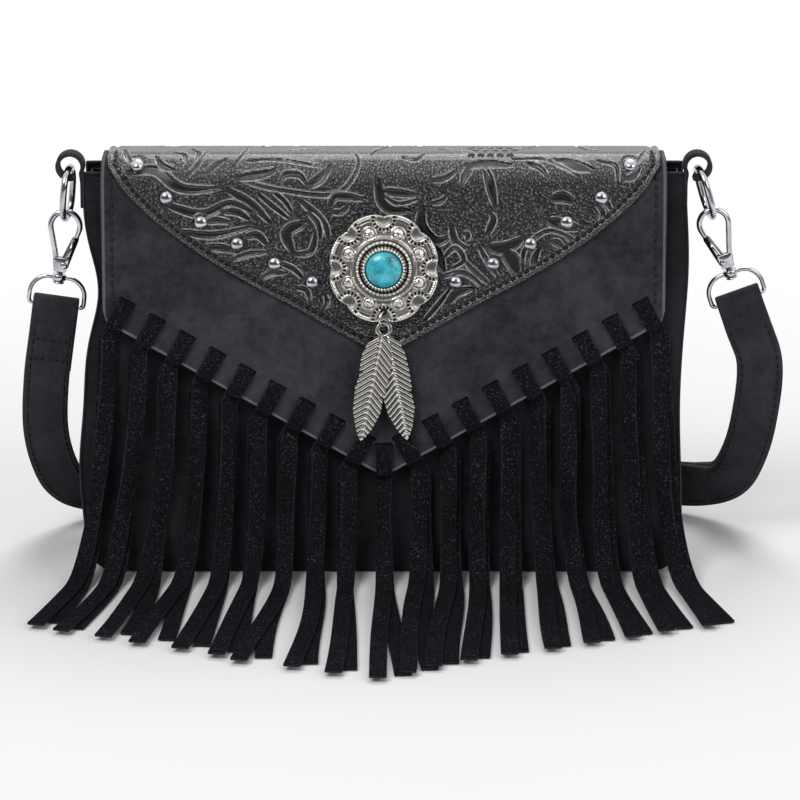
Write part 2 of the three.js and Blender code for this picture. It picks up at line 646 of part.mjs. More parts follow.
// Strap hardware on one side: leather ring tab, ring, swivel clasp with its gate and rivet, swivel loop.
function buildSide(name, { sign, ringLean, claspLean }) {
  const wallX = bag.width / 2;
  const centre = new Vector2(wallX + ringTab.outset, bag.height + ringTab.rise);
  const legX = wallX + clearance + ringTab.thickness / 2;
  const loopLine = [new Vector2(legX, centre.y - ringTab.leg), new Vector2(legX, centre.y - ringTab.loopRadius - 2)];
  const startAngle = Math.PI + 0.5;
  for (let k = 0; k <= 16; k++) {
    const angle = startAngle - (k / 16) * (2 * Math.PI - 0.75);
    loopLine.push(new Vector2(Math.cos(angle), Math.sin(angle)).multiplyScalar(ringTab.loopRadius).add(centre));
  }
  const tab = alongY(strip(loopLine, -ringTab.thickness / 2, ringTab.thickness / 2), ringTab.width / 2, ringTab.width);
  add(`ring_tab_${name}`, mirrored(tab, sign), strapLeather);

  const ringTop = new Vector3(sign * (centre.x + 0.4), 0, centre.y - 1.2);
  const ringFrame = new THREE.Group();
  ringFrame.position.copy(ringTop);
  ringFrame.rotation.set(0, -sign * ringLean * degrees, 0);
  part.add(ringFrame);
  const oval = stadium(ring.width, ring.height).map((p) => new Vector2(p.x, p.y - ring.height / 2));
  const ringMesh = add(`ring_${name}`, planarWire(oval, ring.wire, true), chrome, ringFrame);
  ringMesh.rotation.z = 90 * degrees + sign * ring.yaw * degrees;

  const lean = ringLean * degrees;
  const tilt = claspLean * degrees;
  const hook = ringTop.clone().add(new Vector3(sign * Math.sin(lean), 0, -Math.cos(lean)).multiplyScalar(ring.height));
  const claspFrame = new THREE.Group();
  const drop = clasp.height - clasp.wire - (ring.wire + clasp.wire + clearance);
  claspFrame.position.copy(hook).add(new Vector3(sign * Math.sin(tilt), 0, -Math.cos(tilt)).multiplyScalar(drop));
  claspFrame.rotation.y = -sign * tilt;
  part.add(claspFrame);
  buildClasp(name, sign, claspFrame);
  claspFrame.updateMatrixWorld(true);
  const bar = new Vector3(0, 0, -swivelLoop.drop).applyMatrix4(claspFrame.matrixWorld);
  const across = new Vector3(Math.cos(tilt), 0, sign * Math.sin(tilt));
  return { bar, across, down: new Vector3(sign * Math.sin(tilt), 0, -Math.cos(tilt)) };
}

function mirrored(geometry, sign) {
  if (sign > 0) return geometry;
  return geometryOf(solid(geometry).mirror([1, 0, 0]));
}

// A rounded rectangle with half-round ends above and below.
function stadium(width, height, arcSteps = 8) {
  const r = width / 2;
  const straight = height / 2 - r;
  const end = (from, z) => Array.from({ length: arcSteps + 1 }, (_, k) => {
    const angle = from + (Math.PI * k) / arcSteps;
    return new Vector2(r * Math.cos(angle), z + r * Math.sin(angle));
  });
  return [...end(0, straight), ...end(Math.PI, -straight)];
}

// The clasp stands on its swivel: local +Z runs up to the hook, and its gate faces the bag.
function buildClasp(name, sign, frame) {
  const head = clasp.headRadius;
  const headZ = clasp.height - clasp.wire - head;
  const noseZ = headZ - 5;
  const wireLine = [new Vector2(2.4, 4.5), new Vector2(3.4, 9)];
  for (let k = 0; k <= 9; k++) {
    const angle = (-8 + (196 * k) / 9) * degrees;
    wireLine.push(new Vector2(head * Math.cos(angle), headZ + head * Math.sin(angle)));
  }
  wireLine.push(new Vector2(-head + 0.9, noseZ));
  const half = clasp.blockWidth / 2;
  const blockOutline = [new Vector2(-half + 1, 0), new Vector2(half - 1, 0), new Vector2(half, clasp.block),
    new Vector2(-half, clasp.block)];
  const neckProfile = [new Vector2(0, -6.2), new Vector2(clasp.button, -6.2), new Vector2(clasp.button, -4.9),
    new Vector2(clasp.neck, -4.9), new Vector2(clasp.neck, 0.6), new Vector2(0, 0.6)];
  const stand = (geometry) => geometry.rotateX(Math.PI / 2);
  const pivot = new Vector2(-1.6, 3.4);
  const through = (radius, length) => cylinder(radius, length, 12).translate(pivot.x, 0, pivot.y);
  const slot = new THREE.BoxGeometry(clasp.blockWidth, clasp.slot, clasp.block + 4)
    .translate(-clasp.blockWidth / 2 + 1.4, 0, clasp.block / 2 + 2 + 0.9);
  const body = solid(planarWire(wireLine, clasp.wire, false))
    .add(solid(alongY(blockOutline, clasp.blockDepth / 2, clasp.blockDepth)))
    .add(solid(stand(new THREE.LatheGeometry(neckProfile, 14))))
    .subtract(solid(slot))
    .subtract(solid(through(clasp.rivet + 0.1, 20)));
  add(`clasp_frame_${name}`, mirrored(geometryOf(body), sign), chrome, frame);

  const gateTop = new Vector2(-head + 1.2, noseZ - 0.4);
  const reach = gateTop.clone().sub(pivot);
  const side = new Vector2(-reach.y, reach.x).normalize();
  const gateOutline = [
    pivot.clone().addScaledVector(side, -1.9).addScaledVector(reach, -0.1),
    gateTop.clone().addScaledVector(side, -1.1), gateTop.clone().addScaledVector(side, 1.1),
    pivot.clone().addScaledVector(side, 1.9).addScaledVector(reach, -0.1),
  ];
  const gate = solid(alongY(gateOutline.reverse(), clasp.gateWidth / 2, clasp.gateWidth))
    .subtract(solid(through(clasp.rivet + 0.1, 20)));
  add(`clasp_gate_${name}`, mirrored(geometryOf(gate), sign), chrome, frame);

  const headOut = clasp.blockDepth / 2;
  const rivetProfile = [new Vector2(0, -headOut - 0.9), new Vector2(1.7, -headOut - 0.7),
    new Vector2(1.7, -headOut - 0.2), new Vector2(clasp.rivet, -headOut - 0.2),
    new Vector2(clasp.rivet, headOut + 0.2), new Vector2(1.7, headOut + 0.2),
    new Vector2(1.7, headOut + 0.7), new Vector2(0, headOut + 0.9)];
  const rivet = new THREE.LatheGeometry(rivetProfile, 12).translate(pivot.x, 0, pivot.y);
  add(`clasp_rivet_${name}`, mirrored(rivet, sign), chrome, frame);

  const width = swivelLoop.inside + 2 * swivelLoop.wire;
  const loopLine = rounded([new Vector2(0, -3), new Vector2(width / 2, -3), new Vector2(width / 2, -swivelLoop.drop),
    new Vector2(-width / 2, -swivelLoop.drop), new Vector2(-width / 2, -3), new Vector2(0, -3)],
    [0, 9, 1.8, 1.8, 9, 0], 4).slice(0, -1);
  const collar = stand(cylinder(swivelLoop.collarRadius, swivelLoop.collarHeight, 14)).translate(0, 0, -3);
  const bore = stand(cylinder(clasp.neck + clearance, 12, 14)).translate(0, 0, -3);
  const loop = solid(planarWire(loopLine, swivelLoop.wire, true))
    .add(solid(collar)).subtract(solid(bore));
  add(`swivel_loop_${name}`, geometryOf(loop), chrome, frame);
}

// The strap's route: round the left bar, down to the floor, round behind the bag and up to the right bar.
function strapRoute(left, right) {
  const fold = swivelLoop.wire + 2 * clearance + strap.thickness / 2;
  const apart = strap.thickness + clearance;
  const below = ({ bar, down }, distance, y) => bar.clone().addScaledVector(down, distance).setY(y);
  const turn = (side, from) => [0, 1, 2, 3, 4, 5, 6].map((k) => {
    const angle = from * ((k * Math.PI) / 6 - Math.PI / 2);
    return below(side, -fold * Math.cos(angle), fold * Math.sin(angle));
  });
  const folded = [
    below(left, strap.foldedEnd, -fold + apart), below(left, 18, -fold + apart + 0.6), below(left, 6, fold),
    ...turn(left, -1), below(left, 6, -fold),
  ];
  const [l, r] = [left.bar, right.bar];
  const floorZ = strap.width / 2 + clearance + 0.2;
  const sliderZ = floorZ + 3 * slider.wire + clearance;
  const down = new THREE.CatmullRomCurve3([
    below(left, 12, -fold), below(left, 36, -fold), new Vector3(l.x - 6.5, 2, 62),
    new Vector3(l.x - 4, 12, 42), new Vector3(l.x + 1, 28, 26), new Vector3(l.x + 11, 47, 16),
    new Vector3(l.x + 32, 61, floorZ + 0.8), new Vector3(-90, 71, floorZ), new Vector3(-45, 77, floorZ),
    new Vector3(0, 79, floorZ), new Vector3(45, 77, floorZ), new Vector3(95, 71, sliderZ),
    new Vector3(r.x - 36, 62, sliderZ), new Vector3(r.x - 13, 48, 18), new Vector3(r.x - 1, 29, 27),
    new Vector3(r.x + 5, 12, 44), new Vector3(r.x + 9, 2, 66), below(right, 32, -fold), below(right, 12, -fold),
  ], false, "centripetal").getSpacedPoints(36);
  return { folded, down, top: [below(right, 6, -fold), ...turn(right, 1), below(right, 6, fold)], apart };
}

function buildStrap(left, right) {
  const { folded, down, top, apart } = strapRoute(left, right);
  const forward = new Vector3(0, -1, 0);
  const main = stationsFacing(down, forward);
  const behind = (station) => station.thick.clone().multiplyScalar(-Math.sign(forward.dot(station.thick)));
  const doubled = main.slice(Math.round(main.length * slider.place), -1).reverse()
    .map((station) => station.place.clone().addScaledVector(behind(station), apart));
  const route = [...folded, ...down, ...top, ...doubled];
  const facing = (i) => {
    const along = route[Math.min(i + 1, route.length - 1)].clone().sub(route[Math.max(i - 1, 0)]).normalize();
    if (i < folded.length) return along.cross(left.across).normalize();
    if (i < folded.length + down.length) return forward;
    if (i < route.length - doubled.length) return along.cross(right.across).normalize();
    return forward.clone().negate();
  };
  add("strap", sweep(flatSection(strap.width, strap.thickness), stationsFacing(route, facing)), strapLeather);

  const at = main[Math.round(main.length * slider.place) + 1];
  const back = behind(at);
  const halfWide = (apart + strap.thickness) / 2 + slider.wire + clearance;
  const halfTall = strap.width / 2 + slider.wire + clearance;
  const frame = rounded([new Vector2(0, halfTall), new Vector2(halfWide, halfTall), new Vector2(halfWide, -halfTall),
    new Vector2(-halfWide, -halfTall), new Vector2(-halfWide, halfTall), new Vector2(0, halfTall)],
    [0, 1.4, 1.4, 1.4, 1.4, 0], 3).slice(0, -1);
  const loop = planarWire(frame, slider.wire, true);
  loop.applyMatrix4(new THREE.Matrix4().makeBasis(back, at.wide.clone().cross(back), at.wide));
  const mesh = add("strap_slider", loop, chrome);
  mesh.position.copy(at.place).addScaledVector(back, apart / 2);
}

buildBody();
buildFlap();
buildOverlay();
buildStuds();
buildConcho();
buildSnap();
buildLaces();
const leftBar = buildSide("left", sides.left);
const rightBar = buildSide("right", sides.right);
buildStrap(leftBar, rightBar);

export default part;
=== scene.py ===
import math
import bmesh
import bpy
import numpy as np
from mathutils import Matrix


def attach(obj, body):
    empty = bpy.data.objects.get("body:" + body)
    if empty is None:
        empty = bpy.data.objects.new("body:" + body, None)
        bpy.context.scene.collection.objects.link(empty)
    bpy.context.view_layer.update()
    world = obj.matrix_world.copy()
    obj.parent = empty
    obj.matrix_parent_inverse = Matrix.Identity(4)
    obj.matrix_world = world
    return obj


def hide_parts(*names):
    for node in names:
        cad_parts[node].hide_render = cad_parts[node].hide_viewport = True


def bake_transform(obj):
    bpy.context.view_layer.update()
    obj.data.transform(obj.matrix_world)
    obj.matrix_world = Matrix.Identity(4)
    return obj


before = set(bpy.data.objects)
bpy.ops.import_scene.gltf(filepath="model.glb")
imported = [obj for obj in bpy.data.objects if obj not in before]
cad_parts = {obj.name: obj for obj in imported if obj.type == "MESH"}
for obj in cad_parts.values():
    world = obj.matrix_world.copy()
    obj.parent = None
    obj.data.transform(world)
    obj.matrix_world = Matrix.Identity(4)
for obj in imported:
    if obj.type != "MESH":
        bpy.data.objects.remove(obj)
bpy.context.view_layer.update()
mm = 0.001  # every shape below is worked out in millimetres and scaled once, when its mesh is made
print("frame loaded:", len(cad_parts), "nodes")


# shapes as arrays: a shape is (points, faces, uv), with uv in millimetres on the surface

def gridFaces(rows, cols, wrapRows=False, wrapCols=False):  # quads of a rows by cols grid
    r = np.arange(rows if wrapRows else rows - 1)
    c = np.arange(cols if wrapCols else cols - 1)
    a, b = np.meshgrid(r, c, indexing="ij")
    a2, b2 = (a + 1) % rows, (b + 1) % cols
    return np.stack([a * cols + b, a2 * cols + b, a2 * cols + b2, a * cols + b2], -1).reshape(-1, 4)


def gridShape(points, uv=None, wrapRows=False, wrapCols=False):
    rows, cols = points.shape[:2]
    if uv is None:
        uv = lengthsOn(points)
    return points.reshape(-1, 3), gridFaces(rows, cols, wrapRows, wrapCols), uv.reshape(-1, 2)


def lengthsOn(points):  # uv from lengths: along the columns, then along the rows
    def along(axis):
        step = np.linalg.norm(np.diff(points, axis=axis), axis=-1)
        zero = np.zeros_like(np.take(step, [0], axis=axis))
        return np.concatenate([zero, np.cumsum(step, axis=axis)], axis=axis)
    across, down = along(1), along(0)
    return np.stack([across - across.mean(1, keepdims=True), down], -1)


def joined(*shapes):
    points, faces, uvs, start = [], [], [], 0
    for p, f, uv in shapes:
        points.append(p)
        uvs.append(uv)
        faces.append(np.asarray(f) + start)
        start += len(p)
    return np.concatenate(points), np.concatenate(faces), np.concatenate(uvs)


def outward(shape):  # signed volume by the divergence rule; a negative one means the faces are turned round
    p, f, uv = shape
    a, b, c, d = (p[f[:, k]] for k in range(4))
    volume = (np.einsum("ij,ij->i", a, np.cross(b, c)) + np.einsum("ij,ij->i", a, np.cross(c, d))).sum()
    return (p, f[:, ::-1] if volume < 0 else f, uv)


def slab(outer, inner, bulge):
    # two grids a wall apart, closed by a rim whose middle stands out by bulge times the wall
    rows, cols = outer.shape[:2]
    count = rows * cols
    top = gridFaces(rows, cols)
    index = np.arange(count).reshape(rows, cols)
    rim = np.concatenate([index[0, :-1], index[:-1, -1], index[-1, :0:-1], index[:0:-1, 0]])
    away = np.zeros_like(outer)
    away[0] += outer[0] - outer[1]
    away[-1] += outer[-1] - outer[-2]
    away[:, 0] += outer[:, 0] - outer[:, 1]
    away[:, -1] += outer[:, -1] - outer[:, -2]
    away = away.reshape(-1, 3)[rim]
    away /= np.linalg.norm(away, axis=1, keepdims=True) + 1e-9
    o, i = outer.reshape(-1, 3), inner.reshape(-1, 3)
    wall = np.linalg.norm(o[rim] - i[rim], axis=1, keepdims=True)
    middle = (o[rim] + i[rim]) / 2 + away * wall * bulge
    ring = 2 * count + np.arange(len(rim))
    nextRim, nextRing = np.roll(rim, -1), np.roll(ring, -1)
    sides = np.concatenate([np.stack([rim, ring, nextRing, nextRim], 1),
                            np.stack([ring, rim + count, nextRim + count, nextRing], 1)])
    points = np.concatenate([o, i, middle])
    faces = np.concatenate([top, top[:, ::-1] + count, sides])
    flat = lengthsOn(outer).reshape(-1, 2)
    return outward((points, faces, np.concatenate([flat, flat, flat[rim]])))


def smooth(a, low, high):  # 0 below low, 1 above high, smooth between
    t = np.clip((a - low) / (high - low), 0, 1)
    return t * t * (3 - 2 * t)


def unit(v):
    return v / (np.linalg.norm(v, axis=-1, keepdims=True) + 1e-12)


def sweep(path, wide, section, closed=False, scale=None):
    # a section of (width, thickness) points carried along a path: width lies along wide, thickness across it
    if closed:
        tangent = unit(np.roll(path, -1, 0) - np.roll(path, 1, 0))
    else:
        tangent = unit(np.gradient(path, axis=0))
    wide = np.broadcast_to(wide, path.shape)
    thick = unit(np.cross(tangent, wide))
    wide = unit(np.cross(thick, tangent))
    scale = np.ones(len(path)) if scale is None else scale
    spread = section[None] * scale[:, None, None]
    points = path[:, None] + spread[..., :1] * wide[:, None] + spread[..., 1:] * thick[:, None]
    s = np.concatenate([[0], np.cumsum(np.linalg.norm(np.diff(path, axis=0), axis=1))])
    around = np.concatenate([[0], np.cumsum(np.linalg.norm(np.diff(section, axis=0), axis=1))])
    uv = np.stack(np.broadcast_arrays(around[None], s[:, None]), -1).astype(float)
    p, f, uv = gridShape(points, uv, wrapRows=closed, wrapCols=True)
    if closed:
        return outward((p, f, uv))
    n, last = len(section), len(p) - len(section)
    half = n // 2
    k = np.arange(half - 1)
    cap = np.stack([k, k + 1, n - 2 - k, n - 1 - k], 1)  # pairs across the section, which starts at a corner
    return outward((p, np.concatenate([f, cap[:, ::-1], cap + last]), uv))


def flatSection(width, thickness, radius, steps=3):  # a rectangle with round corners
    w, t = width / 2 - radius, thickness / 2 - radius
    angle = np.linspace(0, math.pi / 2, steps + 1)
    corner = radius * np.stack([np.cos(angle), np.sin(angle)], 1)
    turned = [corner, corner[:, ::-1] * [-1, 1], -corner, corner[:, ::-1] * [1, -1]]
    places = [(w, t), (-w, t), (-w, -t), (w, -t)]
    ring = np.concatenate([turned[k] + places[k] for k in range(4)])
    return np.roll(ring, -(steps + 1) // 2, axis=0)


def roundSection(radius, sides=16):
    angle = 2 * math.pi * (np.arange(sides) + 0.5) / sides
    return radius * np.stack([np.cos(angle), np.sin(angle)], 1)


def lathe(profile, sides=48):
    # an (r, h) profile turned about the h axis, which is local +Z
    angle = np.linspace(0, 2 * math.pi, sides, endpoint=False)
    r, h = np.asarray(profile, float).T
    points = np.stack([r[:, None] * np.cos(angle), r[:, None] * np.sin(angle),
                       np.broadcast_to(h[:, None], (len(r), sides))], -1)
    return outward(gridShape(points, wrapCols=True))


def placed(shape, origin, xAxis, yAxis, zAxis):
    p, f, uv = shape
    turn = np.stack([unit(np.asarray(v, float)) for v in (xAxis, yAxis, zAxis)])
    return outward((p @ turn + np.asarray(origin, float), f, uv))


def roundedLine(corners, radii, step=4.0):
    # a polyline whose corners are replaced by arcs of the given radii, with points about step degrees apart
    corners = [np.asarray(c, float) for c in corners]
    line = []
    for i, corner in enumerate(corners):
        if not radii[i]:
            line.append(corner[None])
            continue
        before, after = unit(corners[i - 1] - corner), unit(corners[(i + 1) % len(corners)] - corner)
        half = math.acos(float(np.clip(before @ after, -1, 1))) / 2
        centre = corner + unit(before + after) * radii[i] / math.sin(half)
        start = corner + before * radii[i] / math.tan(half) - centre
        sign = -np.sign(before[0] * after[1] - before[1] * after[0])
        turn = math.pi - 2 * half
        angle = np.linspace(0, turn, max(3, int(math.degrees(turn) / step) + 1)) * sign
        c, s = np.cos(angle), np.sin(angle)
        line.append(np.stack([start[0] * c - start[1] * s, start[0] * s + start[1] * c], 1) + centre)
    return np.concatenate(line)


def alongLine(line, s):  # place and right-hand normal at lengths s on a 2-D line
    step = np.linalg.norm(np.diff(line, axis=0), axis=1)
    total = np.concatenate([[0], np.cumsum(step)])
    place = np.stack([np.interp(s, total, line[:, k]) for k in range(2)], -1)
    tangent = unit(np.gradient(line, total, axis=0))
    t = unit(np.stack([np.interp(s, total, tangent[:, k]) for k in range(2)], -1))
    return place, np.stack([t[..., 1], -t[..., 0]], -1)


def spline(points, count):  # a smooth curve through points, evenly spaced: cubic Hermite on chord lengths
    points = np.asarray(points, float)
    t = np.concatenate([[0], np.cumsum(np.linalg.norm(np.diff(points, axis=0), axis=1) ** 0.5)])
    slope = np.gradient(points, t, axis=0)
    fine = np.linspace(0, t[-1], 40 * len(points))
    k = np.clip(np.searchsorted(t, fine, side="right") - 1, 0, len(t) - 2)
    h = (t[k + 1] - t[k])[:, None]
    u = ((fine - t[k])[:, None]) / h
    curve = ((2 * u**3 - 3 * u**2 + 1) * points[k] + (u**3 - 2 * u**2 + u) * h * slope[k]
             + (3 * u**2 - 2 * u**3) * points[k + 1] + (u**3 - u**2) * h * slope[k + 1])
    s = np.concatenate([[0], np.cumsum(np.linalg.norm(np.diff(curve, axis=0), axis=1))])
    even = np.linspace(0, s[-1], count)
    return np.stack([np.interp(even, s, curve[:, a]) for a in range(points.shape[1])], 1)


def makePiece(name, shape, material, body, nodes=(), attributes=None, weld=False):
    p, f, uv = shape
    mesh = bpy.data.meshes.new(name)
    f = np.asarray(f)
    mesh.vertices.add(len(p))
    mesh.vertices.foreach_set("co", (p * mm).astype(np.float32).ravel())
    mesh.loops.add(f.size)
    mesh.loops.foreach_set("vertex_index", f.ravel().astype(np.int32))
    mesh.polygons.add(len(f))
    mesh.polygons.foreach_set("loop_start", (np.arange(len(f)) * f.shape[1]).astype(np.int32))
    mesh.update(calc_edges=True)
    layer = mesh.uv_layers.new(name="surface")
    layer.data.foreach_set("uv", uv[f.ravel()].astype(np.float32).ravel())
    for key, values in (attributes or {}).items():
        marks = mesh.attributes.new(key, "FLOAT", "POINT")
        marks.data.foreach_set("value", values.astype(np.float32).ravel())
    mesh.polygons.foreach_set("use_smooth", np.ones(len(f), bool))
    mesh.materials.append(material)
    if weld:  # poles are made as rings of one point each
        work = bmesh.new()
        work.from_mesh(mesh)
        bmesh.ops.remove_doubles(work, verts=work.verts, dist=0.001 * mm)
        work.to_mesh(mesh)
        work.free()
    mesh.validate()
    piece = bpy.data.objects.new(name, mesh)
    bpy.context.scene.collection.objects.link(piece)
    if body:
        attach(piece, body)
    if nodes:
        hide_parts(*nodes)
    return piece


def cutAway(piece, shape):  # an applied Boolean: what lies inside the shape is taken off the piece
    p, f, _ = shape
    mesh = bpy.data.meshes.new("cutter")
    mesh.from_pydata((p * mm).tolist(), [], f.tolist())
    cutter = bpy.data.objects.new("cutter", mesh)
    bpy.context.scene.collection.objects.link(cutter)
    cut = piece.modifiers.new("cut", "BOOLEAN")
    cut.operation, cut.object, cut.solver = "DIFFERENCE", cutter, "EXACT"
    bpy.context.view_layer.objects.active = piece
    bpy.ops.object.modifier_apply(modifier=cut.name)
    bpy.data.objects.remove(cutter)
    bpy.data.meshes.remove(mesh)


# shader maths: a wrapped socket does arithmetic by adding Math nodes

class Value:
    def __init__(self, tree, socket):
        self.tree, self.socket = tree, socket

    def math(self, operation, *others):
        inputs = dict(enumerate([self, *others]))
        return self.make("ShaderNodeMath", {"operation": operation}, inputs)

    def make(self, kind, settings=None, inputs=None, output=0):
        node = self.tree.nodes.new(kind)
        for key, value in (settings or {}).items():
            setattr(node, key, value)
        for key, value in (inputs or {}).items():
            if isinstance(value, Value):
                self.tree.links.new(value.socket, node.inputs[key])
            else:
                node.inputs[key].default_value = value
        return Value(self.tree, node.outputs[output])

    def output(self, key):  # another output of the same node
        return Value(self.tree, self.socket.node.outputs[key])

    def __add__(self, other): return self.math("ADD", other)
    def __radd__(self, other): return self.math("ADD", other)
    def __mul__(self, other): return self.math("MULTIPLY", other)
    def __rmul__(self, other): return self.math("MULTIPLY", other)
    def __sub__(self, other): return self.math("SUBTRACT", other)
    def __rsub__(self, other): return self.make("ShaderNodeMath", {"operation": "SUBTRACT"}, {0: other, 1: self})

    def clamp(self):
        return self.make("ShaderNodeClamp", {}, {0: self})

    def step(self, low, high):  # 0 below low, 1 above high, smooth between
        return self.make("ShaderNodeMapRange", {"interpolation_type": "SMOOTHSTEP"}, {0: self, 1: low, 2: high})

    def mix(self, first, second):  # colours, by this factor
        return self.make("ShaderNodeMix", {"data_type": "RGBA"}, {0: self, 6: first, 7: second}, 2)


class Finish:
    # one material: base gives its Principled shader, paint() links what changes over the surface
    def __init__(self, name, **constants):
        self.material = bpy.data.materials.new(name)
        self.material.use_nodes = True
        self.tree = self.material.node_tree
        self.base = self.tree.nodes["Principled BSDF"]
        self.value = Value(self.tree, None)
        for key, value in constants.items():
            self.base.inputs[key.replace("_", " ")].default_value = value
        self.place = self.value.make("ShaderNodeTexCoord", {}, {}, 3)

    def lengths(self):  # across and along the surface, in millimetres
        surface = self.value.make("ShaderNodeUVMap", {"uv_map": "surface"})
        across = self.value.make("ShaderNodeSeparateXYZ", {}, {0: surface})
        return across, across.output(1)

    def noise(self, scale, detail=2.0, rough=0.5, output=0, distortion=0.0):
        return self.value.make("ShaderNodeTexNoise", {}, {"Vector": self.place, "Scale": scale, "Detail": detail,
                                                          "Roughness": rough, "Distortion": distortion}, output)

    def cells(self, scale, feature="F1", where=None):
        return self.value.make("ShaderNodeTexVoronoi", {"feature": feature},
                               {"Vector": where or self.place, "Scale": scale})

    def attribute(self, name):
        return self.value.make("ShaderNodeAttribute", {"attribute_name": name}, {}, 2)

    def paint(self, height=None, distance=0.0004, strength=1.0, **sockets):  # distance in metres
        for key, value in sockets.items():
            self.tree.links.new(value.socket, self.base.inputs[key.replace("_", " ")])
        if height is not None:
            bump = self.value.make("ShaderNodeBump", {},
                                   {"Height": height, "Distance": distance, "Strength": strength})
            self.tree.links.new(bump.socket, self.base.inputs["Normal"])
        return self.material


def rgb(r, g, b):  # an sRGB byte colour as linear
    c = np.array([r, g, b]) / 255
    return (*np.where(c <= 0.04045, c / 12.92, ((c + 0.055) / 1.055) ** 2.4).tolist(), 1.0)


def nubuckFinish(name, dark, light, scale=1.0, edged=False):
    # brushed nap: slow clouds where the nap lies another way, small blotches, a fine fibre bump;
    # an edged one has a paler line along its rim (toEdge attribute, in millimetres), edge paint with a painted
    # highlight where the rolled edge catches the light
    f = Finish(name, Sheen_Weight=0.2, Sheen_Roughness=0.5, Sheen_Tint=rgb(96, 98, 108),
               Specular_IOR_Level=0.25)
    cloud = f.noise(28 * scale, 4, 0.6, distortion=0.6).step(0.36, 0.64)
    blotch = f.noise(170, 3, 0.65).step(0.3, 0.7)
    grain, fibre = f.noise(420, 3, 0.6), f.noise(1500, 3, 0.7)
    tone = (cloud * 0.35 + blotch * 0.25 + grain * 0.35 + fibre * 0.3 - 0.05).clamp()
    colour = tone.mix(dark, light)
    if edged:
        # pale rim line: edge paint, lightened further as a painted highlight on the rolled edge
        line = 1 - f.attribute("toEdge").step(0.9, 1.5)
        colour = (line * (0.45 + grain * 0.5)).clamp().mix(colour, rgb(118, 118, 124))
    return f.paint(height=fibre * 0.6 + grain * 0.8 + cloud * 0.5, distance=0.00025, strength=0.55,
                   Base_Color=colour, Roughness=0.98 - tone * 0.14)


nubuck = nubuckFinish("nubuck", rgb(9, 9, 11), rgb(40, 40, 46))
flapNubuck = nubuckFinish("flapNubuck", rgb(7, 7, 8), rgb(66, 66, 72), edged=True)
strapLeather = nubuckFinish("strapLeather", rgb(22, 23, 26), rgb(56, 57, 63), 1.3)


def suedeFinish():
    # laces: near-black nap with a fine sparkle of lighter fibre specks, which is painted sheen, and a paler
    # line at the cut edges (edge attribute), part raw fibre and part painted highlight
    f = Finish("suedeLace", Sheen_Weight=0.01, Sheen_Roughness=0.6, Sheen_Tint=rgb(80, 80, 88),
               Specular_IOR_Level=0.02)
    fibre = f.noise(1000, 3, 0.75)
    cloud = f.noise(60, 3, 0.6).step(0.3, 0.72)
    edge = f.attribute("edge")
    # painted sheen: sparse light specks, stronger in slow clouds
    sheenSpeck = fibre.step(0.55, 0.68)
    face = (sheenSpeck * (0.3 + cloud * 0.7)).clamp().mix(rgb(0, 0, 1), rgb(92, 92, 101))
    colour = (edge * (0.35 + fibre * 0.5)).clamp().mix(face, rgb(54, 54, 60))
    return f.paint(height=fibre + cloud * 0.4, distance=0.0004, strength=0.6,
                   Base_Color=colour, Roughness=0.98 - fibre * 0.12)


def tooledFinish():
    # black leather, pebbled where it stands up (relief attribute: 0 cut floor, 1 top) and smooth where it
    # is cut; the pebble tops get painted glints, the raised lips along the cuts (their own attribute) a pale
    # painted highlight, and the cut floors stay black
    f = Finish("tooledLeather", Coat_Weight=0.6, Coat_Roughness=0.1, Specular_IOR_Level=0.7)
    top = f.attribute("relief").step(0.35, 0.8)
    lip = f.attribute("lipHighlight").step(0.15, 0.9)
    pebble = 1 - f.cells(720).step(0.05, 0.8)
    pore = f.noise(1500, 3, 0.65)
    # painted glints: the pebble tops lightened in patches where the lamps would glint on them
    pebbleGlint = (pebble.step(0.4, 0.85) * 0.9 + f.noise(420, 2, 0.6).step(0.45, 0.7) * 0.4 - 0.2).clamp()
    colour = lip.mix((pebbleGlint * top).mix(rgb(3, 3, 4), rgb(132, 133, 138)), rgb(176, 178, 182))
    return f.paint(height=pebble * top + pore * 0.15, distance=0.0013, strength=1.0, Base_Color=colour,
                   Roughness=0.16 + top * 0.07 + pore * 0.06)


def chromeFinish():
    # bright plated wire with faint handling marks
    f = Finish("chrome", Metallic=1.0)
    smear = f.noise(120, 3, 0.6).step(0.35, 0.75)
    scratch = f.noise(2600, 2, 0.5)
    return f.paint(height=scratch, distance=0.00002, strength=0.15, Roughness=0.1 + smear * 0.14,
                   Base_Color=smear.mix(rgb(208, 210, 214), rgb(168, 171, 177)))


def silverFinish():
    # antiqued casting: dark oxide in the hollows (relief attribute), rubbed bright on the high spots
    f = Finish("antiqueSilver", Metallic=1.0)
    relief = f.attribute("relief")
    pit = f.noise(800, 3, 0.7)
    bright = (relief * 1.7 - 0.4 + (pit - 0.5) * 0.5).clamp()
    colour = bright.mix(rgb(44, 42, 40), rgb(224, 221, 214))
    return f.paint(height=pit, distance=0.00008, strength=0.4, Base_Color=colour, Roughness=0.42 - bright * 0.22)


def stoneFinish():
    # polished turquoise: cloudy blues crossed by thin dark and rust veins
    f = Finish("turquoiseStone", Coat_Weight=0.8, Coat_Roughness=0.06, Roughness=0.28)
    cloud = f.noise(160, 4, 0.6).step(0.3, 0.72)
    wander = f.value.make("ShaderNodeVectorMath", {"operation": "SCALE"},
                          {0: f.noise(240, 3, 0.6, output=1), "Scale": 0.004})
    bent = f.value.make("ShaderNodeVectorMath", {"operation": "ADD"}, {0: f.place, 1: wander})
    crack = 1 - f.cells(230, "DISTANCE_TO_EDGE", bent).step(0.0, 0.05)
    patchy = f.noise(110, 2, 0.5).step(0.45, 0.62)
    vein = (crack * patchy).clamp()
    body = cloud.mix(rgb(16, 158, 184), rgb(84, 216, 226))
    rust = f.noise(300, 2, 0.5).step(0.4, 0.65).mix(rgb(28, 26, 26), rgb(122, 74, 44))
    return f.paint(height=1 - vein, distance=0.00006, strength=0.5, Base_Color=vein.mix(body, rust))


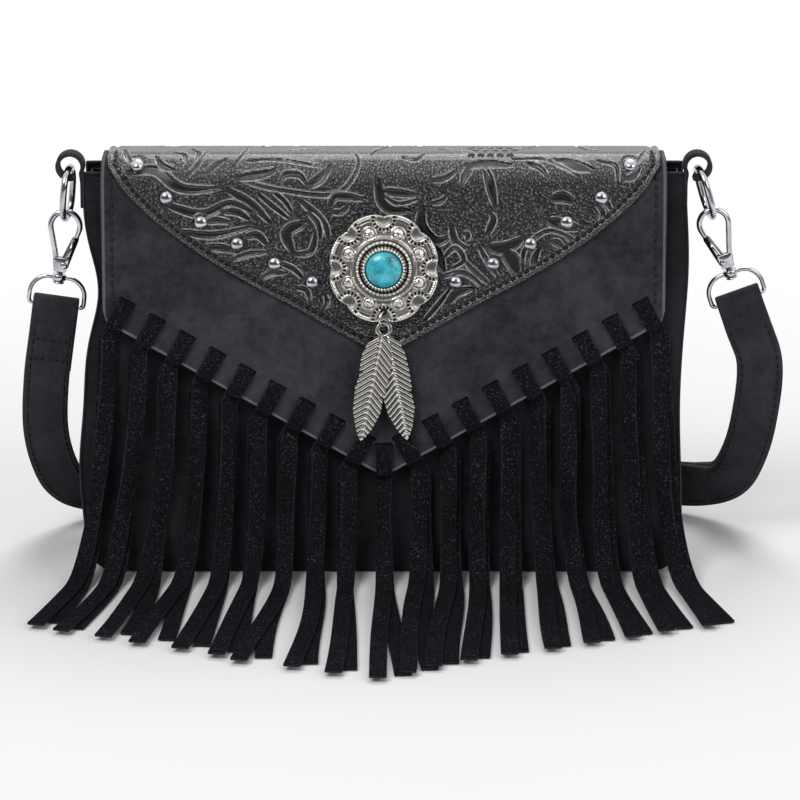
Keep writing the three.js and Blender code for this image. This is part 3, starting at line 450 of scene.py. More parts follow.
def clothFinish():
    # lining: plain weave, two crossed waves on the surface lengths
    f = Finish("liningCloth", Roughness=0.85, Sheen_Weight=0.2)
    across, along = f.lengths()
    weave = (across * 7.0).math("SINE") * (along * 7.0).math("SINE") * 0.5 + 0.5
    cloud = f.noise(70, 3, 0.6)
    return f.paint(height=weave, distance=0.00012, strength=0.5,
                   Base_Color=(weave * 0.6 + cloud * 0.4).clamp().mix(rgb(14, 14, 16), rgb(40, 40, 44)))


def threadFinish(name, dark, light):
    # waxed twisted thread: slanted ply lines on the stitch's own lengths, each painted lighter on its crest
    # and darker between, as painted highlight and shade
    f = Finish(name, Roughness=0.6)
    across, along = f.lengths()
    ply = (across * 5.0 + along * 9.0).math("SINE") * 0.5 + 0.5
    return f.paint(height=ply, distance=0.0001, strength=0.6, Base_Color=ply.mix(dark, light))


suedeLace = suedeFinish()
tooledLeather = tooledFinish()
chrome = chromeFinish()
antiqueSilver = silverFinish()
turquoiseStone = stoneFinish()
liningCloth = clothFinish()
blackThread = threadFinish("blackThread", rgb(2, 2, 3), rgb(15, 15, 17))
print("finishes made")


# the room: pale floor, soft studio light, camera at the photograph's angle

room = {"elevation": 16.0, "distance": 2000.0, "aim": (7.7, -13.1, 79.9), "frameWidth": 386.4,
        "floor": rgb(250, 250, 251), "floorShade": rgb(247, 247, 249), "floorHalf": 1000.0,
        "whiteFrom": 0.18, "whiteTo": 0.62, "lampAim": (0, 0, 0.1),  # from here on in metres
        "lamps": {"key": {"place": (-0.9, -1.3, 1.7), "size": 1.1, "power": 20.0},
                  "fill": {"place": (1.3, -1.2, 1.0), "size": 1.3, "power": 8.5},
                  "rim": {"place": (0.2, 1.0, 1.7), "size": 1.2, "power": 16.0}}}


def whiteFar(paper):
    # the paper goes over to plain white away from the bag, for what the camera and the metal see
    ray = paper.value.make("ShaderNodeLightPath")
    seen = (ray.output("Is Camera Ray") + ray.output("Is Glossy Ray") + ray.output("Is Transmission Ray")).clamp()
    away = paper.place.make("ShaderNodeVectorMath", {"operation": "LENGTH"}, {0: paper.place}, 1)
    glow = paper.value.make("ShaderNodeEmission", {}, {"Color": (1, 1, 1, 1), "Strength": 1.0})
    far = away.step(room["whiteFrom"], room["whiteTo"]) * seen
    base = Value(paper.tree, paper.base.outputs["BSDF"])
    mixed = paper.value.make("ShaderNodeMixShader", {}, {0: far, 1: base, 2: glow})
    paper.tree.links.new(mixed.socket, paper.tree.nodes["Material Output"].inputs["Surface"])


def makeCamera():
    e = math.radians(room["elevation"])
    forward = np.array([0, math.cos(e), -math.sin(e)])
    camera = bpy.data.cameras.new("camera")
    camera.sensor_width = 36
    camera.lens = camera.sensor_width * room["distance"] / room["frameWidth"]
    camera.clip_end = 20
    eye = bpy.data.objects.new("camera", camera)
    eye.location = (np.array(room["aim"]) - forward * room["distance"]) * mm
    eye.rotation_euler = (math.pi / 2 - e, 0, 0)
    bpy.context.scene.collection.objects.link(eye)
    bpy.context.scene.camera = eye
    bpy.context.scene.view_settings.view_transform = "Standard"


def makeFloor():  # a flat square of pale paper
    t = np.linspace(-1, 1, 9) * room["floorHalf"]
    x, y = np.meshgrid(t, t)
    paper = Finish("paleFloor", Roughness=0.8, Specular_IOR_Level=0.1)
    paper.paint(Base_Color=paper.noise(6, 2, 0.5).mix(room["floor"], room["floorShade"]))
    whiteFar(paper)
    floor = bpy.data.objects.new("floor", bpy.data.meshes.new("floor"))
    p, f, _ = gridShape(np.stack([x, y, np.zeros_like(x)], -1))
    floor.data.from_pydata((p * mm).tolist(), [], f[:, ::-1].tolist())
    floor.data.materials.append(paper.material)
    bpy.context.scene.collection.objects.link(floor)


def makeLight():
    # the camera sees plain white; the metal sees a room that is bright behind and above and dim in front;
    # everything else gets an even 0.3, with three soft lamps
    world = bpy.data.worlds.new("studio")
    world.use_nodes = True
    bpy.context.scene.world = world
    tree = world.node_tree
    sky = Value(tree, None)
    ray = sky.make("ShaderNodeLightPath")
    seen, glossy = ray.output("Is Camera Ray"), ray.output("Is Glossy Ray")
    toward = sky.make("ShaderNodeSeparateXYZ", {}, {0: sky.make("ShaderNodeTexCoord", {}, {}, 0)})
    shown = (toward.output(1).step(-0.75, 0.35) * 0.75 + toward.output(2).step(0.35, 0.95) * 0.6 + 0.1).clamp()
    strength = (seen + (1 - seen) * (glossy * shown + (1 - glossy) * 0.3)).clamp()
    back = tree.nodes["Background"]
    back.inputs["Color"].default_value = (1, 1, 1, 1)
    tree.links.new(strength.socket, back.inputs["Strength"])
    for name, lamp in room["lamps"].items():
        light = bpy.data.lights.new(name, "AREA")
        light.shape, light.size, light.energy = "DISK", lamp["size"], lamp["power"]
        holder = bpy.data.objects.new(name, light)
        d = unit(np.array(room["lampAim"]) - np.array(lamp["place"]))
        holder.location = lamp["place"]
        holder.rotation_euler = (math.acos(-d[2]), 0, math.atan2(-d[0], d[1]))
        bpy.context.scene.collection.objects.link(holder)


makeCamera()
makeFloor()
makeLight()
print("room made")


# places shared by the pieces, repeated from the solids

bag = {"width": 286, "height": 192, "bottomDepth": 72, "topDepth": 26, "corner": 14, "wall": 2.0,
       "gussetTop": 183}
rightward, backward, upward = np.eye(3)  # the frame's own axes
halfWidth = bag["width"] / 2
lean = (bag["bottomDepth"] - bag["topDepth"]) / 2 / bag["height"]
leanAngle = math.atan(lean)
frontOut = np.array([0, -math.cos(leanAngle), math.sin(leanAngle)])
flapTop, flapInside, flapWall, overlayFace = bag["height"] + 5.0, 4.1, 1.8, 7.6
flapHalf, flapCorner, flapTip = 134.0, flapTop - 74, flapTop - 149
tipRadius, cornerRadius, shoulderRadius, seamRadius = 12.0, 8.0, 13.0, 4.6
hingeY = bag["topDepth"] / 2
edgeSlope = (flapCorner - flapTip) / flapHalf
edgeAngle = math.atan(edgeSlope)


def onFront(x, z, out):  # a point on the leaning front face at height z, moved out along its normal
    x, z, out = np.broadcast_arrays(np.asarray(x, float), np.asarray(z, float), np.asarray(out, float))
    base = np.stack([x, -bag["bottomDepth"] / 2 + lean * z, z], -1)
    return base + out[..., None] * frontOut


def flapLineOf(start):  # the flap's inner line in (y, z): over the top and down the leaning front
    low = onFront(0, flapTip - 10, flapInside)[1:]
    high = onFront(0, flapTop + 40, flapInside)[1:]
    shoulder = low + (high - low) * (flapTop - low[1]) / (high[1] - low[1])
    shoulder[1] = flapTop
    if start == "seam":
        back = hingeY - flapWall
        return roundedLine([(back, bag["height"] + 0.3), (back, flapTop), shoulder, low],
                           [0, seamRadius, shoulderRadius, 0])
    return roundedLine([(hingeY - 6, flapTop), shoulder, low], [0, shoulderRadius, 0])


class Drape:
    # the flap's surface unrolled: (x, w) with w equal to height on the front and running on over the top
    def __init__(self, start):
        self.line = flapLineOf(start)
        step = np.linalg.norm(np.diff(self.line, axis=0), axis=1)
        self.length = step.sum()
        self.lowW = self.line[-1, 1]
        self.cos = math.cos(leanAngle)

    def lengthAt(self, w):  # length from the start down to the unrolled height w
        return self.length - (np.asarray(w, float) - self.lowW) / self.cos

    def heightAt(self, s):
        return self.lowW + (self.length - s) * self.cos

    def place(self, x, s, out):
        yz, normal = alongLine(self.line, s)
        yz = yz + normal * np.asarray(out)[..., None]
        return np.concatenate([np.broadcast_to(np.asarray(x, float)[..., None], yz.shape[:-1] + (1,)), yz], -1)


seamDrape, overlayDrape = Drape("seam"), Drape("overlay")


def flapEdge(x):  # height of the flap's V edge, with its round tip and round lower corners
    a = np.abs(x)
    z = flapTip + a * edgeSlope
    r = tipRadius
    tip = flapTip + r / math.cos(edgeAngle) - np.sqrt(np.maximum(r**2 - a**2, 0))
    z = np.where(a < r * math.sin(edgeAngle), tip, z)
    r = cornerRadius
    centre = flapTip + (flapHalf - r) * edgeSlope + r / math.cos(edgeAngle)
    corner = centre - np.sqrt(np.maximum(r**2 - (a - flapHalf + r) ** 2, 0))
    return np.where(a > flapHalf - r + r * math.sin(edgeAngle), corner, z)


def stitches(path, normal, pitch, length, radius, inset, sides=6):
    # short threads along a path: each is a bent capsule whose ends dip below the surface by inset
    step = np.linalg.norm(np.diff(path, axis=0), axis=1)
    s = np.concatenate([[0], np.cumsum(step)])
    mid = np.arange(pitch / 2, s[-1], pitch)
    t = np.linspace(-1, 1, 7)
    at = mid[:, None] + t * length / 2
    centre = np.stack([np.interp(at, s, path[:, k]) for k in range(3)], -1)
    out = unit(np.stack([np.interp(mid, s, normal[:, k]) for k in range(3)], -1))[:, None]
    centre = centre + out * (radius * 0.7 * (1 - t**4) - inset)[None, :, None]
    along = unit(np.gradient(centre, axis=1))
    side = unit(np.cross(along, np.broadcast_to(out, along.shape)))
    up = np.cross(side, along)
    thin = radius * np.sqrt(np.maximum(1 - (t * 0.96) ** 6, 0))
    angle = 2 * math.pi * np.arange(sides) / sides
    ring = side[:, :, None] * np.cos(angle)[:, None] + up[:, :, None] * np.sin(angle)[:, None]
    points = (centre[:, :, None] + ring * thin[None, :, None, None]).reshape(-1, 3)
    one = gridFaces(len(t), sides, wrapCols=True)
    k = np.arange(sides // 2 - 1)
    cap = np.stack([k, k + 1, sides - 2 - k, sides - 1 - k], 1)
    one = np.concatenate([one, cap, (cap + (len(t) - 1) * sides)[:, ::-1]])
    faces = (one[None] + (np.arange(len(mid)) * len(t) * sides)[:, None, None]).reshape(-1, 4)
    uv = np.stack(np.broadcast_arrays(angle[None, None] * radius, at[:, :, None]), -1).reshape(-1, 2)
    return outward((points, faces, uv))


# fringe: each lace comes up behind the flap, out through its slot, over the edge and down again

lace = {"count": 19, "pitch": 14.3, "width": 8.0, "thickness": 1.4, "round": 0.4, "hole": 13.0, "bend": 1.3,
        "drop": 1.8, "floorBend": 36.0, "frontLength": 185.0, "backLength": 176.0, "step": 3.0,
        "backLayer": 1.2, "frontLayer": 3.0, "tabLayer": 6.9, "tabCrown": 0.6,  # distances out from the panel
        "drift": 1.15, "driftPower": 1.7, "wave": 1.5, "bow": 3.2, "bowChange": 2.6, "backBow": 0.5,
        "twist": 32.0, "backTwist": 0.25, "cup": 0.3, "cupLimit": 0.15, "edgeWidth": 0.55,
        "frontSweep": [-26, -28, -24, -21, -16, -14, -16, -8, -5, -2, -6, -7, -5, -2, 4, 7, 10, 12, 17],
        "backSweep": [-17, -20, -12, -9, -6, -5, -6, 1, 3, 8, 2, -1, -2, 1, 6, 10, 13, 18, 22]}


def laceEdge(i):  # where a lace crosses the flap's edge, and the direction straight up from it, in (x, z)
    x = (i - (lace["count"] - 1) / 2) * lace["pitch"]
    side = np.sign(x)
    up = np.array([-side * math.sin(edgeAngle), math.cos(edgeAngle) if side else 1.0])
    return np.array([x, float(flapEdge(np.array(x)))]), up


def tailPath(start, layer, length, sweepX, wave, bow):
    # down the leaning front, round onto the floor and forwards; x drifts as a power of the length gone,
    # with a slow wave, and the tail bows away from the panel on its way down
    rest = 0.5 + lace["thickness"] / 2 + layer - lace["backLayer"]
    high, low = onFront(0, bag["height"], layer)[1:], onFront(0, 0, layer)[1:]
    foot = low + (high - low) * (rest - low[1]) / (high[1] - low[1])
    bend = lace["floorBend"] - (layer - lace["backLayer"])
    line = roundedLine([high, foot, (foot[0] - 260, rest)], [0, bend, 0])
    top = (high[1] - start[1]) / math.cos(leanAngle)
    s = np.linspace(0, length, int(length / lace["step"]))
    yz, normal = alongLine(line, s + top)
    hang = np.clip((yz[:, 1] - rest) / max(start[1] - rest, 1), 0, 1)
    yz = yz + normal * (bow * np.sin(math.pi * (1 - hang)) ** 1.2)[:, None]
    share = s / length
    drift = lace["drift"] * sweepX * share ** lace["driftPower"]
    x = start[0] + drift + wave * np.sin(share * 6.5 + start[0]) * smooth(share, 0.05, 0.5)
    return np.column_stack([x, yz])


def lacePath(i):  # back tail, loop through the slot and over the edge, front tail; and where the loop is
    edge, up = laceEdge(i)

    def at(rise, out):  # straight up from the edge by rise, out from the panel
        return onFront(edge[0] + up[0] * np.asarray(rise), edge[1] + up[1] * np.asarray(rise), out)
    a, t = np.linspace(0, math.pi / 2, 7), np.linspace(0, 1, 8)
    hole, r, drop = lace["hole"], lace["bend"], lace["drop"]
    back, front, tab = lace["backLayer"], lace["frontLayer"], lace["tabLayer"]
    turnIn = at(hole - r + r * np.sin(a), back + r * (1 - np.cos(a)))
    turnOut = at(hole - r * (1 - np.cos(a)), tab - r + r * np.sin(a))
    down = at(hole - r - 0.8 - (hole + drop - 2 * r - 1.6) * t, tab + lace["tabCrown"] * np.sin(math.pi * t))
    under = at(-drop + r - r * np.sin(a), tab - r * (1 - np.cos(a)))
    behind = at(-drop - r * (1 - np.cos(a)), front + r - r * np.sin(a))
    loop = np.concatenate([turnIn, turnOut, down, under, behind])
    wave, bow = lace["wave"] * math.sin(i * 2.4), lace["bow"] + lace["bowChange"] * math.sin(i * 1.7 + 0.4)
    frontTail = tailPath(edge - up * (drop + r + 2), front, lace["frontLength"], lace["frontSweep"][i], wave, bow)
    backTail = tailPath(edge - up * (drop + r + 6), back, lace["backLength"], lace["backSweep"][i], -wave,
                        lace["backBow"])[::-1]
    path = np.concatenate([backTail, loop, frontTail])
    inLoop = np.zeros(len(path))
    inLoop[len(backTail):len(backTail) + len(loop)] = 1
    soft = np.convolve(np.pad(inLoop, 4, mode="edge"), np.ones(9) / 9, "valid")[:, None]
    wide = unit(soft * np.array([up[1], 0, -up[0]]) + (1 - soft) * rightward)
    return path, wide, soft, len(backTail)


def laceShape(i):
    path, wide, soft, backRows = lacePath(i)
    rows = len(path)
    # each hanging tail turns a little about its own length, and lies flat again on the floor
    along = np.gradient(path, axis=0)
    share = np.where(np.arange(rows) < backRows, lace["backTwist"], 1)
    lift = smooth(path[:, 2], 3, 26) * (1 - soft[:, 0]) * share
    turn = np.radians(lace["twist"]) * lift * np.sin(path[:, 2] / 21 + i * 2.1)
    wide = unit(wide * np.cos(turn)[:, None] + np.cross(unit(along), wide) * np.sin(turn)[:, None])
    section = flatSection(lace["width"], lace["thickness"], lace["round"], 2)
    p, f, uv = sweep(path, wide, section)
    # a slight cup across the width, less near the loop, so the light rolls over each tail
    width = np.broadcast_to(section[:, 0][None], (rows, len(section)))
    crown = 1 - (width / (lace["width"] / 2)) ** 2
    cup = lace["cup"] * np.sin(np.linspace(0, 9, rows) + i)[:, None] * (1 - soft) * crown
    cup = np.clip(cup, -lace["cupLimit"], lace["cupLimit"])
    n = unit(np.cross(along, wide))
    p = p.reshape(rows, len(section), 3) + cup[..., None] * n[:, None]
    edgeMark = np.clip((np.abs(width) - lace["width"] / 2 + lace["edgeWidth"]) / 0.4, 0, 1)
    return (p.reshape(-1, 3), f, uv), edgeMark


for i in range(lace["count"]):
    name = f"lace_{i + 1:02d}"
    shape, edgeMark = laceShape(i)
    edge, _ = laceEdge(i)
    piece = makePiece(f"suedeLace{i + 1:02d}", shape, suedeLace, None, [name], {"edge": edgeMark})
    # points on the lace just above and below the flap's edge, where it bends; nothing further uses them
    start, end = onFront(edge[0], edge[1] + 1, 5) * mm, onFront(edge[0], edge[1] - 9, 5) * mm
    name + "_hang"
    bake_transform(piece)
print("fringe made")


# flap: a nubuck sheet over the top, its V edge slit for the laces

flap = {"columns": 181, "topRows": 48, "frontRows": 70, "topDrop": 18.0, "crowding": 0.14,
        "slitWidth": 8.8, "slitHeight": 2.2, "slitFrom": 2.6, "slitTo": 7.6, "sewInset": 4.6,
        "thread": {"pitch": 4.2, "length": 3.0, "radius": 0.62, "inset": 0.3}}


def flapShape():
    # rows share the bends over the top, then run evenly down to the V edge; columns crowd towards both sides
    u = np.linspace(-1, 1, flap["columns"])
    x = flapHalf * (u * (1 - flap["crowding"]) + flap["crowding"] * np.sin(u * math.pi / 2) ** 3)
    x = np.clip(x, -flapHalf, flapHalf)
    topEnd = seamDrape.lengthAt(flapTop - flap["topDrop"])
    end = seamDrape.lengthAt(flapEdge(x))
    top = np.linspace(0, topEnd, flap["topRows"])[:, None] * np.ones_like(x)
    t = np.linspace(0, 1, flap["frontRows"] + 1)[1:, None]
    s = np.concatenate([top, topEnd + (end - topEnd)[None] * t])
    xx = np.broadcast_to(x, s.shape)
    outer = seamDrape.place(xx, s, np.full(s.shape, flapWall))
    inner = seamDrape.place(xx, s, np.zeros(s.shape))
    toEdge = np.minimum(end[None] - s, flapHalf - np.abs(xx))
    onRim = np.zeros(2 * sum(s.shape) - 4)
    return slab(outer, inner, 0.25), np.concatenate([toEdge.ravel(), toEdge.ravel(), onRim])


shape, toEdge = flapShape()
flapPiece = makePiece("flapSheet", shape, flapNubuck, "flap", ["flap_base"], {"toEdge": toEdge})


def slitCutters():  # one box for each slit, turned to lie along the V edge
    section = flatSection(flap["slitWidth"], flap["slitHeight"], 0.5, 2)
    boxes = []
    for i in range(lace["count"]):
        edge, up = laceEdge(i)
        hole = edge + up * lace["hole"]
        path = onFront(hole[0], hole[1], np.linspace(flap["slitFrom"], flap["slitTo"], 4))
        boxes.append(sweep(path, np.array([up[1], 0, -up[0]]), section))
    return joined(*boxes)


cutAway(flapPiece, slitCutters())


def flapSeam(side):  # a row of stitches inside a side edge, down to the lower corner
    w = np.linspace(flapTop + 10, flapCorner + 7, 260)
    x = np.full(len(w), side * (flapHalf - flap["sewInset"]))
    path = seamDrape.place(x, seamDrape.lengthAt(w), np.full(len(w), flapWall))
    above = seamDrape.place(x, seamDrape.lengthAt(w), np.full(len(w), flapWall + 1))
    return stitches(path, above - path, **flap["thread"])


makePiece("flapStitching", joined(flapSeam(-1), flapSeam(1)), blackThread, "flap")
print("flap made:", len(flapPiece.data.polygons), "faces")


# tooled overlay: pebbled leather with leaves and scrolls cut into it as smooth gouges, inside a rolled edge

overlay = {"half": 131.0, "cornerDrop": 2.0, "sweepDrop": 34.0, "straightDrop": 65.0, "tipDrop": 91.0,
           "tipRadius": 6.0, "sweepBend": 0.84, "straightFrom": 0.36,  # the last two as shares of half
           "thickness": 1.4, "columns": 440, "rows": 200, "ground": -0.85, "raised": 0.45, "lipHighlight": 0.14,
           "edgeBead": 0.5, "beadHalf": 1.25, "groove": 3.2, "grooveHalf": 0.5, "border": 4.0,
           "studs": 6, "studRow": [(117, 0.5), (103, 22), (34, 55)], "studSeat": (3.4, 4.4),
           "thread": {"pitch": 3.6, "length": 2.7, "radius": 0.55, "inset": 0.25}}
# the tooling, drawn as knife and gouge cuts: half width, then points of the cut's spine as
# (x, drop below the flap's top)
leafSpray = [
    (1.9, (-122, 5), (-109, 4), (-96, 11), (-76, 11)), (1.6, (-75, 11), (-63, 18), (-53, 28)),
    (1.8, (-105, 18), (-86, 23), (-72, 18), (-60, 23)), (1.5, (-99, 31), (-81, 33), (-62, 29)),
    (1.6, (-86, 39), (-77, 39), (-69, 41)), (1.4, (-77, 22), (-70, 22), (-63, 26)),
    (1.3, (-86, 27), (-79, 26), (-72, 27)), (1.5, (-66, 34), (-60, 33), (-55, 38)),
    (1.1, (-73, 45), (-64, 42), (-54, 41)), (1.1, (-59, 54), (-53, 51), (-46, 51)),
    (0.9, (-60, 13), (-53, 19), (-44, 26)), (0.8, (-53, 12), (-47, 17), (-43, 23)),
    (0.9, (-42, 58), (-37, 59), (-35, 65)), (0.8, (-28, 61), (-27, 65), (-29, 68)),
    (1.0, (-50, 46), (-43, 49), (-38, 54))]
crescents = [
    (1.0, (-124, -11), (-121, -1), (-115, 2)), (1.1, (-108, -2), (-105, 2), (-99, 4)),
    (1.1, (-100, -6), (-95, -4), (-94, 1)), (1.1, (-92, -12), (-88, -6), (-89, 0)),
    (0.7, (-93, 6), (-88, 1), (-83, -9)), (1.1, (-84, 5), (-79, 1), (-75, -1)),
    (0.7, (-72, 3), (-67, -4), (-65, -15)), (0.7, (-112, -22), (-100, -19), (-92, -23)),
    (0.7, (-62, -16), (-54, -20), (-48, -27))]
roundLeaf = [
    (0.8, (-72, 7), (-47, 12), (-22, 13), (-12, 1), (-23, -18)), (0.8, (-65, 0), (-53, -1), (-27, 3)),
    (1.5, (-70, 7), (-55, 5), (-50, 3)), (1.1, (-49, 9), (-47, 6), (-40, 6), (-36, 10)),
    (1.7, (-36, 10), (-30, 7), (-25, 2)), (0.8, (-46, -9), (-36, -12), (-26, -9)),
    (0.7, (-42, -19), (-34, -22), (-27, -20))]
scrolls = [
    (1.4, (-40, 16), (-28, 28), (-26, 36)), (1.0, (-36, 22), (-31, 28), (-30, 36)),
    (2.4, (-37, 27), (-46, 32), (-43, 42)), (1.2, (-43, 42), (-35, 41), (-32, 31)),
    (1.6, (-26, 20), (-23, 15), (-8, 16)), (1.1, (-25, 22), (-20, 22), (-17, 19)),
    (2.6, (-3, 8), (1, 19), (13, 22)), (1.6, (-1, 12), (7, 13), (17, 14)),
    (0.7, (0, 14), (6, 18), (17, 16)), (0.9, (9, -2), (16, -1), (19, -5)),
    (0.8, (-6, -4), (-2, -12), (5, -22)), (0.7, (12, -16), (17, -19), (24, -27))]
flower = [
    (1.9, (48, 3), (50, 8), (53, 20)), (1.4, (42, 2), (38, 7), (37, 10)),
    (1.7, (39, 2), (49, 1), (62, 2)), (2.4, (18, 20), (18, 29), (25, 36), (33, 33)),
    (1.4, (32, 28), (34, 36), (41, 40)), (0.9, (37, 32), (40, 33), (39, 36)),
    (1.4, (49, 33), (52, 25), (50, 22)), (2.7, (49, 39), (58, 39), (67, 34)),
    (2.5, (77, 26), (85, 28), (94, 30)), (2.4, (79, 16), (85, 15), (91, 18)),
    (2.6, (80, 0), (91, 2), (100, 4)), (0.7, (25, -14), (34, -8), (44, -6)),
    (0.7, (62, -11), (69, -16), (77, -21)), (0.7, (61, -1), (76, -1), (94, 7)),
    (1.1, (68, 1), (74, 3), (78, 7)), (0.9, (22, 8), (29, 7), (35, 4)),
    (0.9, (22, 18), (27, 17), (30, 14))]
lowLeaves = [
    (3.4, (57, 41), (61, 45), (63, 52)), (2.3, (25, 39), (27, 47), (29, 51)),
    (0.8, (66, 51), (67, 40), (78, 31), (93, 36)), (1.4, (71, 49), (72, 43), (74, 39)),
    (1.4, (79, 36), (83, 37), (85, 41)), (1.0, (86, 33), (90, 36), (91, 38)),
    (0.9, (28, 44), (34, 39), (38, 45), (32, 49)), (0.9, (38, 45), (44, 51), (51, 57)),
    (0.9, (45, 38), (49, 45), (55, 54)), (1.0, (26, 53), (38, 51), (48, 58)),
    (1.8, (30, 66), (34, 61), (43, 58)), (0.9, (19, 74), (25, 67), (32, 58)),
    (0.9, (100, 15), (105, 17), (109, 23)), (0.9, (101, 18), (104, 23), (102, 29)),
    (1.5, (113, 7), (118, 6), (122, 2)), (0.7, (113, 6), (120, 1), (126, -12)),
    (0.8, (91, -21), (97, -11), (102, -8)), (0.8, (102, 0), (110, 2), (111, 10)),
    (0.9, (9, 78), (12, 81), (8, 85)), (0.9, (-10, 78), (-14, 80), (-12, 84))]
seeds = {"at": (53, -9), "rows": 2, "columns": 4, "pitch": (4.6, 5.6), "radius": 1.25}  # the flower's pits


def quadratic(t, first, bend, last):  # a curve from first to last, drawn towards bend
    return (1 - t) ** 2 * first + 2 * t * (1 - t) * bend + t**2 * last


def overlayHalf(w):
    # half width at unrolled height w, and the tip's height: full width, then a quadratic sweep, a straight
    # run and a round tip
    t = np.linspace(0, 1, 200)
    h, top, r = overlay["half"], flapTop, overlay["tipRadius"]
    straightX = h * overlay["straightFrom"]
    sweepX = quadratic(t, h, h * overlay["sweepBend"], straightX)
    sweepDrop = quadratic(t, overlay["cornerDrop"], overlay["sweepDrop"], overlay["straightDrop"])
    angle = math.atan2(overlay["tipDrop"] - overlay["straightDrop"], straightX)
    centre = top - overlay["tipDrop"] + r / math.cos(angle)
    a = np.linspace(angle, 0, 20)[1:]
    x = np.concatenate([[h], sweepX, r * np.sin(a)])
    z = np.concatenate([[top + 80], top - sweepDrop, centre - r * np.cos(a)])
    return np.interp(w, z[::-1], x[::-1]), z[-1]


def besideSpine(x, w, spine):  # for each point: place along a spine from 0 to 1, and distance from it
    offset = np.stack([x, w], -1)[:, None] - spine[None]
    k = np.argmin((offset**2).sum(-1), 1)
    return k / (len(spine) - 1), np.linalg.norm(offset[np.arange(len(k)), k], axis=1)


def pressCut(field, lipHighlight, x, w, cut):
    # a blunt teardrop with a smooth floor: half width is the sine of the length gone, to the power 0.6;
    # its lip is a narrow raised line just outside, which the material gives a painted highlight
    half, spine = cut[0], spline([(px, flapTop - drop) for px, drop in cut[1:]], 60)
    t, over = besideSpine(x, w, spine)
    wide = half * np.sin(math.pi * np.clip(t, 0.03, 0.97) ** 0.8) ** 0.6
    floor = smooth(wide - over, -0.3, 0.3)
    lip = np.exp(-(((over - wide - 0.55) / 0.4) ** 2)) * smooth(t, 0, 0.15) * smooth(-t, -1, -0.85)
    return field * (1 - floor), np.maximum(lipHighlight, lip) * (1 - floor)


def pressSeeds(field, x, w):  # rows of small pits, every other row shifted by half a pitch
    dx, dw = x - seeds["at"][0], w - (flapTop - seeds["at"][1])
    across, down = seeds["pitch"]
    row = np.clip(np.round(dw / down), -seeds["rows"] / 2, seeds["rows"] / 2)
    shift = 0.5 * (row % 2)
    column = np.clip(np.round(dx / across + shift), -seeds["columns"] / 2, seeds["columns"] / 2)
    d = np.hypot(dx - (column - shift) * across, dw - row * down)
    return field * (1 - smooth(seeds["radius"] - d, -0.35, 0.35))


def studSpots():  # evenly along a quadratic curve that follows the overlay's edge, on both sides
    t = np.linspace(0, 1, 200)[:, None]
    row = quadratic(t, *(np.array([x, flapTop - drop]) for x, drop in overlay["studRow"]))
    gone = np.concatenate([[0], np.cumsum(np.linalg.norm(np.diff(row, axis=0), axis=1))])
    even = np.linspace(0, gone[-1], overlay["studs"])
    x, z = np.interp(even, gone, row[:, 0]), np.interp(even, gone, row[:, 1])
    return np.concatenate([-x, x]), np.concatenate([z, z])


def onOverlay(x, z, out):  # the overlay's face at a height, and its normal, on the side that faces forward
    faceOut = overlayFace - flapInside
    s = np.linspace(overlayDrape.length * 0.12, overlayDrape.length, 900)
    yz, n = alongLine(overlayDrape.line, s)
    faceZ = (yz + n * faceOut)[:, 1]
    top = np.argmax(faceZ)
    s = np.interp(z, faceZ[top:][::-1], s[top:][::-1])
    yz, n = alongLine(overlayDrape.line, np.atleast_1d(s))
    normal = np.concatenate([np.zeros((len(n), 1)), n], 1)
    place = np.column_stack([np.broadcast_to(np.asarray(x, float), len(n)), yz + n * faceOut])
    return place + normal * out, normal


def toolingOn(x, w):  # how far the leather stands up, 0 to 1, and its raised lips, which get a painted highlight
    field, lipHighlight = pressSeeds(np.ones(x.size), x, w), np.zeros(x.size)
    spot, reach = np.stack([x, w], 1), 8
    for cut in leafSpray + crescents + roundLeaf + scrolls + flower + lowLeaves:
        spine = np.array(cut[1:]) * [1, -1] + [0, flapTop]
        near = ((spot > spine.min(0) - reach) & (spot < spine.max(0) + reach)).all(1)
        field[near], lipHighlight[near] = pressCut(field[near], lipHighlight[near], x[near], w[near], cut)
    return field, lipHighlight


def overlayShape():
    # rows run across at each unrolled height; the face rises with the tooling, flat seats under the studs,
    # and a border of a half-round bead and a stitching groove
    w = np.linspace(overlayDrape.heightAt(0), overlayHalf(0.0)[1] + 0.02, overlay["rows"])
    half = np.maximum(overlayHalf(w)[0], 0.05)
    slope = np.gradient(overlayHalf(w + 0.4)[0] + overlayHalf(w - 0.4)[0], w) / 2
    x = np.linspace(-1, 1, overlay["columns"])[None] * half[:, None]
    ww = np.broadcast_to(w[:, None], x.shape)
    toEdge = (half[:, None] - np.abs(x)) / np.sqrt(1 + slope[:, None] ** 2)
    field, lipHighlight = (values.reshape(x.shape) for values in toolingOn(x.ravel(), ww.ravel()))
    sx, sz = studSpots()
    seat = smooth(np.sqrt((x[..., None] - sx) ** 2 + (ww[..., None] - sz) ** 2).min(-1), *overlay["studSeat"])
    field = field * seat + 0.5 * (1 - seat)
    border = smooth(toEdge, overlay["border"], overlay["border"] + 1.0)
    bead = np.sqrt(np.maximum(1 - (toEdge / overlay["beadHalf"] - 1) ** 2, 0))
    groove = np.exp(-(((toEdge - overlay["groove"]) / overlay["grooveHalf"]) ** 2))
    lift = overlay["ground"] + (overlay["raised"] - overlay["ground"]) * field + overlay["lipHighlight"] * lipHighlight
    lift = lift * border + (1 - border) * (overlay["edgeBead"] * bead - 0.3 * groove)
    s = np.broadcast_to(overlayDrape.lengthAt(w)[:, None], x.shape)
    base = overlayFace - overlay["thickness"] - flapInside
    outer = overlayDrape.place(x, s, base + overlay["thickness"] + lift)
    inner = overlayDrape.place(x, s, np.full(x.shape, base))
    # on the border the relief, which also sets the painted pebble glints, rises on the bead and falls in the
    # groove, and the bead's crest gets a painted highlight
    relief = field * border + (1 - border) * (0.5 + 0.2 * bead - 0.5 * groove)
    lipHighlight = lipHighlight * border + (1 - border) * 0.3 * bead**6
    return outer, inner, relief, lipHighlight


